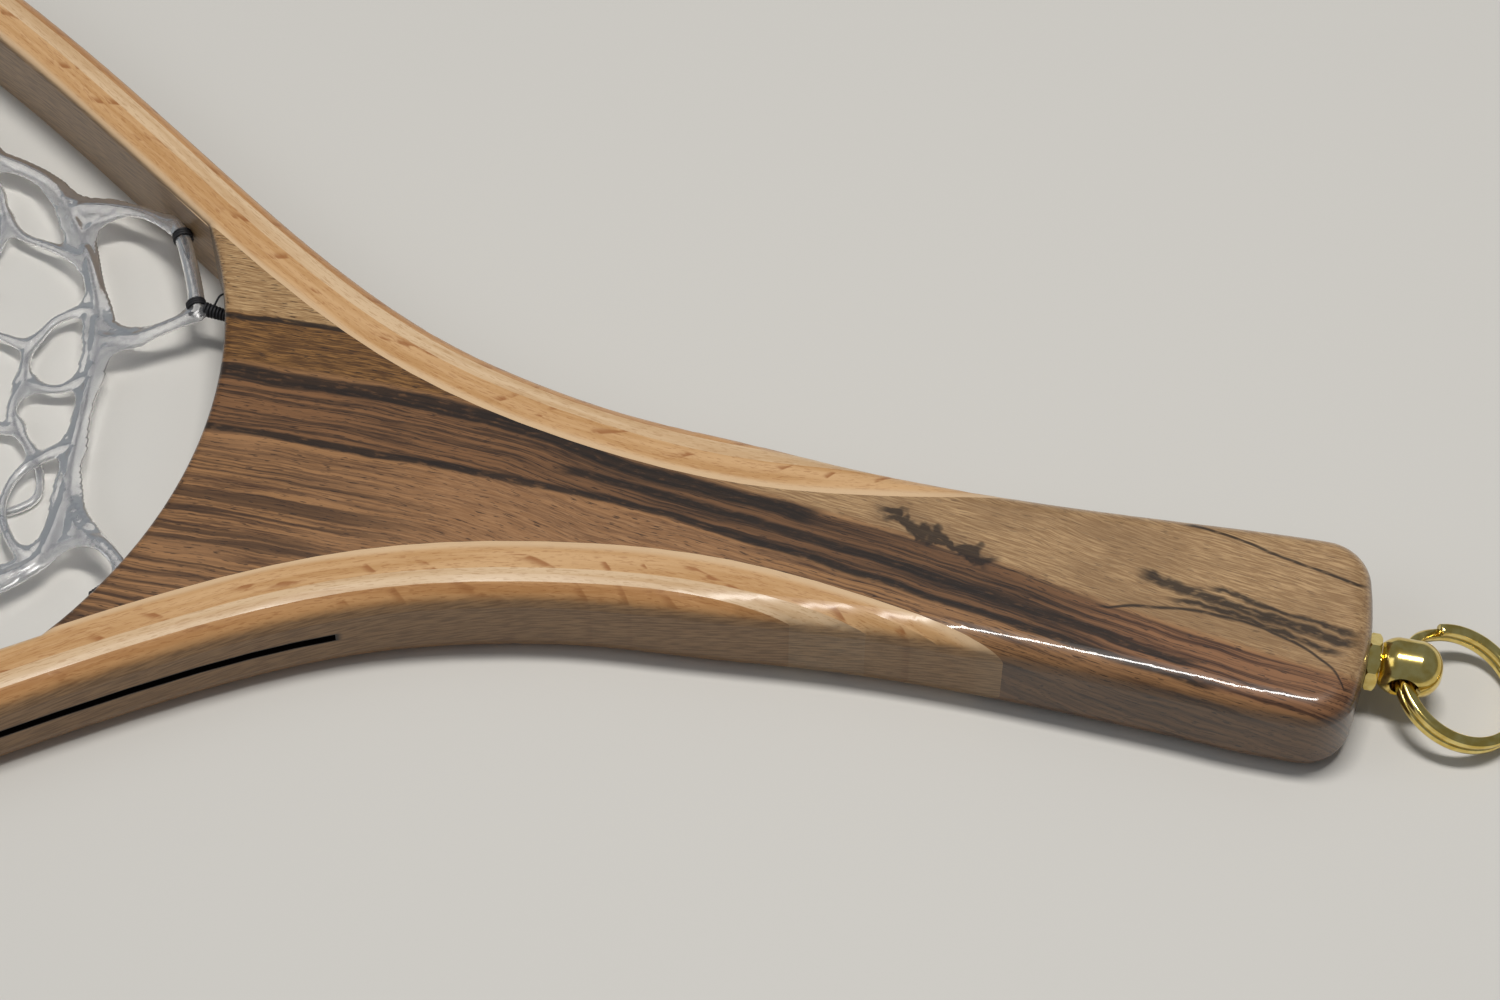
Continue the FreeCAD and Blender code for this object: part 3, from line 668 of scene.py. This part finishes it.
# Bars of the web that show there, as (x, y, z).
SHOWN_BARS = [
    [(-291, 66, 4), (-286, 62.5, 3.5), (-283.5, 57.5, 3), (-278, 52.5, 3), (-271, 50, 4), (-263.5, 47.5, 5)],
    [(-283, 56.5, 3), (-281.5, 49, 3), (-283, 44, 2.5)],
    [(-255.5, 34, 5), (-258.5, 35, 4.5), (-263.5, 32, 3.5), (-267, 25.5, 3), (-273, 26, 3), (-280, 27, 3)],
    [(-267, 25.5, 3), (-266, 20, 3), (-264.5, 15.5, 3)],
    [(-264.5, 15.5, 3), (-258, 15, 3.5), (-254.5, 16.5, 4.5), (-251.5, 18.5, 5)],
    [(-264.5, 15.5, 3), (-265, 9.5, 3), (-262.5, 5, 3), (-257, -1, 3)],
    [(-249, 1.5, 5), (-254, -1, 4), (-258.5, -6.5, 3), (-258.5, -15, 3.5), (-253.5, -23, 4.5),
     (-249.5, -25.5, 5)],
    [(-262.5, 5, 3), (-265.5, 4, 2.5), (-270.5, 6, 2.5)],
]
RUNNING_ON = (1, 2, 7)  # those whose last point goes on to the hidden web
FOLDED_BAR = [(-258, 1, 2.5), (-254.5, -5, 1.5), (-254, -10, 1), (-258.5, -14, 1), (-263, -13.5, 1),
              (-268, -16, 1)]
# Bars of the +Y and -Y yoke lugs, the -Y one pulled closer to the wood; then their arms, rim to bar,
# outer one first.
UPPER_LUG = [(-246, 57, 9.5), (-243, 53, 9.5), (-240, 47.5, 9.5), (-237, 41.5, 9.5), (-234.5, 35.5, 9.5)]
LOWER_LUG = [(-244.5, -54.5, 9.5), (-240.5, -51.5, 9.5), (-236.5, -46.5, 9.5), (-233, -40.5, 9.5),
             (-230.5, -34, 9.5)]
UPPER_ARMS = [
    [(-268.5, 57, 5), (-268.5, 59.5, 5.5), (-264.5, 60.5, 6.5), (-254.5, 59.5, 8), (-246.5, 56.5, 9.5)],
    [(-254, 29, 5), (-251.5, 28, 5.5), (-244, 29, 7.5), (-237.5, 32.5, 9), (-235, 34.5, 9.5)],
]
LOWER_ARMS = [
    [(-262.5, -37.5, 5), (-258, -46.5, 7), (-254, -51, 8), (-244.5, -54.5, 9.5)],
    [(-246.5, -11.5, 5), (-241.5, -19, 6.5), (-235.5, -22, 8), (-230.5, -26.5, 9), (-229.5, -30, 9),
     (-230.5, -34, 9.5)],
]
# Edges of the flat webs where those arms leave the rim.
FOOT_WEBS = [
    [(-274.5, 64, 5), (-268.5, 61, 5.5), (-262, 60, 6.5)],
    [(-264, 51, 5), (-263.5, 55.5, 5.5), (-259.5, 59.5, 7)],
    [(-256, 35.5, 5), (-252.5, 31.5, 5.5), (-246.5, 29, 6.5)],
    [(-252.5, 22, 5), (-251, 25.5, 5.5), (-245, 28, 7)],
    [(-247.5, -7.5, 5), (-245, -12, 5.5), (-239.5, -18, 7)],
    [(-246, -24, 5), (-243.5, -22, 5.5), (-239, -20.5, 7)],
]


def middle_radius(node, height):
    """Polar line, about the hoop's centre, half-way across a node's flat face at this height."""
    corners = cad_points(node)
    x, y = (corners[np.abs(corners[:, 2] - height) < LEVEL][:, :2] - HOOP_CENTRE).T
    order = np.argsort(np.arctan2(y, x))
    angles, radii = np.arctan2(y, x)[order], np.hypot(x, y)[order]
    local = np.array([np.median(radii[np.abs(angles - angle) < 0.12]) for angle in angles])
    outer = radii > local
    grid = np.linspace(-math.pi, math.pi, 361)
    both = [np.interp(grid, angles[side], radii[side], period=2 * math.pi) for side in (outer, ~outer)]
    return grid, sum(both) / 2


def rim_line():
    """The whole rim: as it shows beside the yoke, and the CAD rim's line round the hoop."""
    grid, radii = middle_radius("bag_rim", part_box("bag_rim")[1].z / MM)
    x, y = (np.array([YOKE_RIM[-1], YOKE_RIM[0]]) - HOOP_CENTRE).T
    start, stop = np.arctan2(y, x) + RIM_GAPS
    angles = np.linspace(start, stop - 2 * math.pi, RIM_SAMPLES)
    radius = np.interp(angles, grid, radii, period=2 * math.pi)[:, None]
    hidden = HOOP_CENTRE + radius * np.column_stack([np.cos(angles), np.sin(angles)])
    flat = np.vstack([YOKE_RIM, hidden, YOKE_RIM[:1]])
    heights = RIM_HEIGHT + RIM_WAVE * np.sin(np.arange(len(flat)) * 0.9)
    heights[:len(YOKE_RIM)] = RIM_HEIGHT
    heights[-1] = RIM_HEIGHT
    return np.column_stack([flat, heights])


def inside(point, outline):
    """Whether a plan point lies within a closed outline, by crossings."""
    x, y = point
    within = False
    for (ax, ay), (bx, by) in zip(outline, np.roll(outline, -1, axis=0)):
        if (ay > y) != (by > y) and x < ax + (bx - ax) * (y - ay) / (by - ay):
            within = not within
    return within


def clear_of_shown(place, margin):
    """Whether a place is past the slanted line where the bars drawn one by one end."""
    return place[0] < SHOWN_END[0] - SHOWN_SLOPE * (place[1] - SHOWN_END[1]) - margin


def cell_middles(random):
    """A triangular grid over the bag, each point pushed off a little."""
    middles = []
    for row, y in enumerate(np.arange(FIELD_LOW[1], FIELD_HIGH[1], CELL_ROW)):
        for x in np.arange(FIELD_LOW[0] + (row % 2) * CELL / 2, FIELD_HIGH[0], CELL):
            middles.append(Vector((x, y) + random.uniform(-CELL_JITTER, CELL_JITTER, 2)))
    return middles


def cell_walls(middles):
    """Junctions of three cells each, and the pairs of junctions with a wall between."""
    corners, _, triangles, *_ = delaunay_2d_cdt(middles, [], [], 0, 1e-6)
    junctions = [np.mean([corners[i] for i in triangle], axis=0) for triangle in triangles]
    shared = {}
    for index, triangle in enumerate(triangles):
        for a, b in zip(triangle, triangle[1:] + triangle[:1]):
            shared.setdefault(frozenset((a, b)), []).append(index)
    return junctions, [tuple(pair) for pair in shared.values() if len(pair) == 2]


def without_loose_ends(links, on_rim):
    """Drop the bars that end in the open, until none does."""
    while True:
        uses = Counter(end for pair in links for end in pair)
        loose = {end for end, count in uses.items() if count == 1 and end not in on_rim}
        if not loose:
            return links
        links = [pair for pair in links if not loose & set(pair)]


def web_cells(rim, margin, inset, height, spread, seed):
    """Bars and junctions of a moulded web of uneven cells, tied to the rim where inset is 0."""
    random = np.random.default_rng(seed)
    junctions, links = cell_walls(cell_middles(random))
    place, on_rim, kept = {}, set(), set()
    for index, junction in enumerate(junctions):
        if not clear_of_shown(junction, margin):
            continue
        gap = np.hypot(*(rim[:, :2] - junction).T)
        nearest = int(np.argmin(gap))
        if inside(junction, rim[:-1, :2]) and gap[nearest] > inset + JUNCTION_TO_RIM:
            kept.add(index)
            place[index] = np.array([*junction, height + random.uniform(-spread, spread)])
        elif inset == 0 and gap[nearest] <= RIM_REACH:
            on_rim.add(index)
            place[index] = rim[nearest]
    links = [(a, b) for a, b in links if a in place and b in place and (a in kept or b in kept)]
    links = without_loose_ends(links, on_rim)
    bars = []
    for a, b in links:
        bow = random.uniform(-BAR_BOW, BAR_BOW)
        along = place[b] - place[a]
        sideways = np.array([-along[1], along[0], 0]) / max(norm(along), 1e-6)
        bars.append([place[a], (place[a] + place[b]) / 2 + sideways * bow, place[b]])
    return bars, np.array([place[index] for index in kept if any(index in pair for pair in links)])


def loose_parts(node):
    """The separate solids of a CAD node, each as its corners."""
    corners = cad_points(node)
    keys = {}
    welded = [keys.setdefault(tuple(np.round(corner, 3)), len(keys)) for corner in corners]
    parent = list(range(len(keys)))

    def root(index):
        while parent[index] != index:
            parent[index] = parent[parent[index]]
            index = parent[index]
        return index

    for polygon in NODES[node].data.polygons:
        first, *others = [welded[i] for i in polygon.vertices]
        for other in others:
            parent[root(other)] = root(first)
    roots = np.array([root(index) for index in welded])
    return [corners[roots == part] for part in sorted(set(roots))]


def hoop_ties():
    """Each lashing of the CAD model as (middle of its turn, far end of its thread, partner's middle)."""
    ties = []
    for corners in loose_parts("net_lashings"):
        middle = np.median(corners, axis=0)
        middle = corners[norm(corners - middle, axis=1) < TURN_REACH].mean(axis=0)
        distance = norm(corners - middle, axis=1)
        far = corners[distance > distance.max() - END_REACH].mean(axis=0)
        ties.append((middle, far))
    middles = np.array([middle for middle, _ in ties])
    out = []
    for index, (middle, far) in enumerate(ties):
        gaps = norm(middles - middle, axis=1)
        gaps[index] = math.inf
        out.append((middle, far, middles[np.argmin(gaps)]))
    return out


def lug_bars(rim, ties):
    """Bars of the lugs: a bar each along its two ties, and two arms down to the rim."""
    bars = []
    for bar, arms in ((UPPER_LUG, UPPER_ARMS), (LOWER_LUG, LOWER_ARMS)):
        bars.append((bar, LUG))
        bars += [(arm, ARM) for arm in arms]
    for middle, _, partner in [tie for tie in ties if tie[0][0] < YOKE_LIMIT_X][::2]:
        along = unit(partner - middle)
        ends = [middle - along * LUG_END, partner + along * LUG_END]
        bars.append(([ends[0], (ends[0] + ends[1]) / 2, ends[1]], LUG))
        for end, away in zip(ends, (-along, along)):
            inward = unit(np.append(HOOP_CENTRE - end[:2], 0))
            target = end + inward * ARM_FOOT[0] + away * ARM_FOOT[1]
            foot = rim[np.argmin(norm(rim[:, :2] - target[:2], axis=1))]
            knee = end + inward * ARM_KNEE[0] + away * ARM_KNEE[1]
            knee[2] = end[2] - ARM_KNEE[2]
            bars.append(([end, knee, (knee + foot) / 2 + away * ARM_BOW, foot], ARM))
    return bars


def nearest_junction(place, junctions):
    return junctions[np.argmin(norm(junctions[:, :2] - place[:2], axis=1))]


def bag_bars(ties):
    """All bars of the bag with their kinds: the upper layer, and the folded one under it."""
    rim = rim_line()
    upper, upper_junctions = web_cells(rim, margin=4.0, inset=0, height=3.2, spread=1.0, seed=11)
    lower, lower_junctions = web_cells(rim, margin=9.0, inset=24, height=1.3, spread=0.15, seed=29)
    shown = [[np.array(point) for point in bar] for bar in SHOWN_BARS]
    shown[0].insert(0, nearest_junction(shown[0][0], upper_junctions))
    for index in RUNNING_ON:
        shown[index].append(nearest_junction(shown[index][-1], upper_junctions))
    folded = [np.array(point) for point in FOLDED_BAR]
    folded.append(nearest_junction(folded[-1], lower_junctions))
    top = [(rim, RIM)] + [(bar, BAR) for bar in shown + upper] + [(bar, EDGE) for bar in FOOT_WEBS]
    top += lug_bars(smooth_line(rim), ties)
    return top, [(bar, BAR) for bar in lower + [folded]]


# ---- rubber bag, as a mesh
VOXEL = 0.5
FAR = 50.0
REACH = 7.0  # a bar's webs are worked out this far from it
WEB_BLEND = 1.7  # how far the thin webs reach into the corners
WEB_HALF_THICKNESS = 0.42
WEB_EDGE_RADIUS = 0.3
HEIGHT_BLEND = 0.8  # how softly the height passes from one bar to the next
CORE_FILLET = 1.0
LAYER_FILLET = 0.35
UNDERSIDE = 0.06  # height of the rubber's lowest face
BAND = 2.0  # distances are kept up to this far from the surface
SMOOTHING = (0.5, -0.52) * 10  # shares of a pass inwards and one back out, so no bar thins


def make_rubber():
    shade = Shade("clear_rubber", Roughness=0.2, IOR=1.36, Transmission_Weight=0.9)
    cloud = shade.noise(shade.vector(*shade.place()), scale=0.16, detail=1)
    off = shade.node("Attribute", attribute_name="off_centre").outputs["Fac"]
    # Painted shade: a darker line down each bar's middle, where the core is thickest.
    painted_ridge_shade = shade.step(off, 0.75, 0.15)
    colour = shade.tones(shade.step(cloud, 0.3, 0.7), (232, 233, 235), (248, 248, 249))
    shade.colour(shade.stain(colour, shade.times(painted_ridge_shade, 0.4), (150, 152, 168)))
    shade.feed(shade.surface.inputs["Roughness"], shade.add(0.08, shade.times(cloud, 0.1)))
    return shade


def blended(first, second, width):
    """Smaller of two distances, with a fillet of about this width between them."""
    share = np.clip(0.5 + 0.5 * (second - first) / width, 0, 1)
    return second + (first - second) * share - width * share * (1 - share)


def plan_distance(line, x, y):
    """Distance in plan from the grid's places to a line, and the line's height where it is nearest."""
    best = np.full(np.broadcast_shapes(x.shape, y.shape), FAR)
    level = np.zeros_like(best)
    for a, b in zip(line, line[1:]):
        run = b - a
        share = ((x - a[0]) * run[0] + (y - a[1]) * run[1]) / max(run[0] ** 2 + run[1] ** 2, 1e-9)
        share = np.clip(share, 0, 1)
        gap = np.hypot(x - a[0] - share * run[0], y - a[1] - share * run[1])
        closer = gap < best
        best = np.where(closer, gap, best)
        level = np.where(closer, a[2] + share * run[2], level)
    return best, level


def layer_field(bars, shape):
    """Distance field of one layer of bars and the thin webs between them, plus the plan distance."""
    plan = shape[:2]
    webs, heights, radii = np.zeros(plan), np.zeros(plan), np.zeros(plan)
    weights = np.full(plan, 1e-12)
    nearest = np.full(plan, FAR)
    for points, kind in bars:
        line = smooth_line(points)
        low = np.floor((line[:, :2].min(0) - REACH - FIELD_LOW[:2]) / VOXEL).astype(int).clip(0)
        high = np.ceil((line[:, :2].max(0) + REACH - FIELD_LOW[:2]) / VOXEL).astype(int).clip(max=plan)
        window = (slice(low[0], high[0]), slice(low[1], high[1]))
        x = FIELD_LOW[0] + VOXEL * np.arange(low[0], high[0])[:, None]
        y = FIELD_LOW[1] + VOXEL * np.arange(low[1], high[1])[None, :]
        best, level = plan_distance(line, x, y)
        webs[window] += np.exp(-(best - kind["web"]) / WEB_BLEND)
        weight = np.exp(-best / HEIGHT_BLEND)
        weights[window] += weight
        heights[window] += weight * level
        radii[window] += weight * kind["radius"]
        nearest[window] = np.minimum(nearest[window], best)
    heights /= weights
    radii /= weights
    in_web = -WEB_BLEND * np.log(np.maximum(webs, 1e-9))
    z = FIELD_LOW[2] + VOXEL * np.arange(shape[2])
    off = np.abs(z - heights[:, :, None])
    core = np.sqrt(nearest[:, :, None] ** 2 + off ** 2) - radii[:, :, None]
    flat = in_web[:, :, None] + WEB_EDGE_RADIUS
    thick = off - WEB_HALF_THICKNESS + WEB_EDGE_RADIUS
    web = (np.hypot(np.maximum(flat, 0), np.maximum(thick, 0))
           + np.minimum(np.maximum(flat, thick), 0) - WEB_EDGE_RADIUS)
    return blended(core, web, CORE_FILLET), nearest


def evened(vertices, quads):
    """Smooth out the grid's small steps."""
    edges = np.vstack([quads[:, [i, (i + 1) % 4]] for i in range(4)])
    count = np.bincount(edges[:, 0], minlength=len(vertices))[:, None]
    for share in SMOOTHING:
        sums = [np.bincount(edges[:, 0], weights=vertices[edges[:, 1], axis], minlength=len(vertices))
                for axis in range(3)]
        vertices = vertices + share * (np.column_stack(sums) / count - vertices)
    return vertices


def make_bag(ties):
    top, bottom = bag_bars(ties)
    shape = tuple(np.ceil((FIELD_HIGH - FIELD_LOW) / VOXEL).astype(int) + 1)
    field, off = layer_field(top, shape)
    low_field, low_off = layer_field(bottom, shape)
    field = blended(field, low_field, LAYER_FILLET)
    z = FIELD_LOW[2] + VOXEL * np.arange(shape[2])
    field = np.maximum(field, UNDERSIDE - z)
    grid = openvdb.FloatGrid(BAND)
    grid.copyFromArray(np.clip(field, -BAND, BAND).astype(np.float32))
    vertices, quads = grid.convertToQuads(isovalue=0.0)
    index = np.clip(np.round(vertices[:, :2]).astype(int), 0, np.array(shape[:2]) - 1)
    off_centre = np.minimum(off, low_off)[index[:, 0], index[:, 1]]
    vertices = (evened(vertices.astype(float), quads) * VOXEL + FIELD_LOW) * MM + (BUTT_X, 0, 0)
    piece = new_piece("rubber_net", vertices, quads[:, ::-1], make_rubber(), "net_frame")
    attribute = piece.data.attributes.new("off_centre", "FLOAT", "POINT")
    attribute.data.foreach_set("value", off_centre.astype(np.float32))
    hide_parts(*[node for node in NODES if node.startswith("bag_")])


# ---- black thread
STRAND = 0.3  # radius of one thread of the lashings
CORE_STRAND = 0.62  # radius of the straight thread that they are wound round
WOOD_GAP = 3.6  # a hoop lug's bar to the wood
WRAP_RADIUS = 1.8
WRAPS = 3
WRAP_PRESS = 0.95  # turns round the rubber press together
SHANK_START = WRAP_RADIUS - 0.2  # from the bar's middle
SHANK_PITCH = 2.1 * STRAND
SHANK_TAPER = 0.72
INTO_WOOD = 0.3
INTO_WRAP = 0.6
HOOP_SHANK = 0.75  # shank radii; the arc's are for +Y and -Y
HORN_SHANK = 0.6
ARC_SHANKS = (1.25, 0.8)
ARC_SHIFT = 1.3  # from the lug's point along its bar to the tie
HORN_SHIFT = 0.6
COIL_POINTS = 14  # to each turn
LOOSE_STRAND = 0.22
CORD_STRAND = 0.37
CORD_PRESS = 0.75  # its two strands press into each other
CORD_TWIST = 3.8  # length of one full twist
CORD_STEP = 4  # least distance between the points taken from the CAD cord
# Where the +Y lashings enter the yoke's arc and its horn, and the loose end at the first of them.
ARC_MOUTH = np.array([-228.3, 35.5, 9.5])
HORN_MOUTH = np.array([-243.9, 57.2, 9.5])
LOOSE_END = [(-231.3, 36.2, 10.6), (-230.9, 37.4, 11.4), (-230.6, 38.6, 11.6), (-229.9, 39.6, 11.4)]


def tube(path, radius, sides=7):
    """Round rod along a path, its section carried without twisting."""
    path = np.asarray(path, float)
    ahead = heading(path)
    side = np.cross(ahead[0], (0.31, 0.17, 0.94))
    angles = 2 * math.pi * np.arange(sides)[:, None] / sides
    rings = []
    for point, forward in zip(path, ahead):
        side = unit(side - forward * side.dot(forward))
        over = np.cross(forward, side)
        rings.append(point + (side * np.cos(angles) + over * np.sin(angles)) * radius)
    return np.vstack(rings), skin(len(path), sides)


def coil(start, end, turns, first, last):
    """Path of a thread wound round the line from start to end, its radius going from first to last."""
    axis = unit(end - start)
    side = unit(np.cross(axis, (0, 0, 1)))
    over = np.cross(axis, side)
    share = np.linspace(0, 1, max(8, int(turns * COIL_POINTS)))[:, None]
    angle = 2 * math.pi * turns * share
    size = first + (last - first) * share
    return start + (end - start) * share + (side * np.cos(angle) + over * np.sin(angle)) * size


def lashing(bar_point, bar_direction, mouth, far, shank_radius):
    """Turns round the rubber bar, a wound shank to the wood and the thread in its hole."""
    half = bar_direction * WRAPS * STRAND * WRAP_PRESS
    length = norm(mouth - bar_point)
    away = (mouth - bar_point) / length
    start = bar_point + away * SHANK_START
    turns = max(2, (length - WRAP_RADIUS) / SHANK_PITCH)
    wrap = coil(bar_point - half, bar_point + half, WRAPS, WRAP_RADIUS, WRAP_RADIUS)
    shank = coil(start, mouth + away * INTO_WOOD, turns, shank_radius, shank_radius * SHANK_TAPER)
    core = [start - away * INTO_WRAP, (start + mouth) / 2, mouth, (mouth + far) / 2, far]
    return [tube(wrap, STRAND), tube(shank, STRAND), tube(core, CORE_STRAND, 9)]


def add_thread(name, parts, shade, node):
    """One piece from several tubes in millimetres, in place of a CAD node."""
    vertices, faces, base = [], [], 0
    for corners, polygons in parts:
        vertices.append(corners * MM + (BUTT_X, 0, 0))
        faces += [tuple(base + index for index in polygon) for polygon in polygons]
        base += len(corners)
    piece = new_piece(name, np.vstack(vertices), faces, shade, "net_frame")
    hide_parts(node)


def make_lashings(ties, shade):
    parts = []
    for middle, far, partner in ties:
        if middle[0] < YOKE_LIMIT_X:
            mouth = middle + unit((far - middle) * (1, 1, 0)) * WOOD_GAP
            parts += lashing(middle, unit(partner - middle), mouth, far, HOOP_SHANK)
            continue
        side = 1 if middle[1] > 0 else -1
        bar = np.array(UPPER_LUG if side > 0 else LOWER_LUG)
        along = unit(bar[1] - bar[3])
        if middle[0] > YOKE_SLANTED_X:
            shank = ARC_SHANKS[side < 0]
            parts += lashing(bar[4] + along * ARC_SHIFT, along, ARC_MOUTH * (1, side, 1), far, shank)
        else:
            parts += lashing(bar[1] + along * HORN_SHIFT, along, HORN_MOUTH * (1, side, 1), far, HORN_SHANK)
    parts.append(tube(smooth_line(LOOSE_END, 0.5), LOOSE_STRAND))
    add_thread("thread_lashings", parts, shade, "net_lashings")


def groove_line():
    """Middle line of the lacing thread in its groove, from one end to the other."""
    corners = cad_points("lacing_cord")
    low, top = [corner.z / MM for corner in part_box("lacing_cord")]
    on_top = np.abs(corners[:, 2] - top) < LEVEL
    used = Counter()
    for polygon in NODES["lacing_cord"].data.polygons:
        if all(on_top[i] for i in polygon.vertices):
            used.update(polygon.edge_keys)
    rungs = np.array([(corners[a] + corners[b]) / 2 for (a, b), count in used.items() if count == 2])
    rungs[:, 2] = (top + low) / 2
    x, y = (rungs[:, :2] - HOOP_CENTRE).T
    rungs = rungs[np.argsort(np.arctan2(y, x) % (2 * math.pi))]
    spaced = [rungs[0]]
    for point in rungs[1:]:
        if norm(point - spaced[-1]) > CORD_STEP:
            spaced.append(point)
    return smooth_line(spaced, 0.8)


def make_lacing(shade):
    """Two-strand twisted thread, held in the groove all the way."""
    line = groove_line()
    run = np.append(0, np.cumsum(norm(np.diff(line, axis=0), axis=1)))
    side = np.cross(heading(line), (0, 0, 1))
    parts = []
    for phase in (0, math.pi):
        angle = (2 * math.pi * run / CORD_TWIST + phase)[:, None]
        offset = (side * np.cos(angle) + np.array([0, 0, 1]) * np.sin(angle)) * CORD_STRAND * CORD_PRESS
        parts.append(tube(line + offset, CORD_STRAND, 6))
    add_thread("groove_thread", parts, shade, "lacing_cord")
    print("lacing thread length", round(run[-1], 1))


def make_thread():
    shade = Shade("black_thread", Roughness=0.55, Specular_IOR_Level=0.35)
    fibre = shade.noise(shade.vector(*shade.place()), scale=6.0, detail=2)
    shade.colour(shade.tones(fibre, (10, 10, 12), (44, 43, 46)))
    shade.bump(fibre, 0.06 * MM, 0.6)
    return shade


# ---- put together
make_camera()
make_studio()
make_floor()
make_strips()
make_walnut()
BRASS = make_brass("turned_brass", marks=9.0)
dress("swivel_stud", BRASS)
dress("swivel_barrel", BRASS)
make_split_ring(make_brass("ring_brass", marks=0.8))
TIES = hoop_ties()
make_bag(TIES)
THREAD = make_thread()
make_lashings(TIES, THREAD)
make_lacing(THREAD)
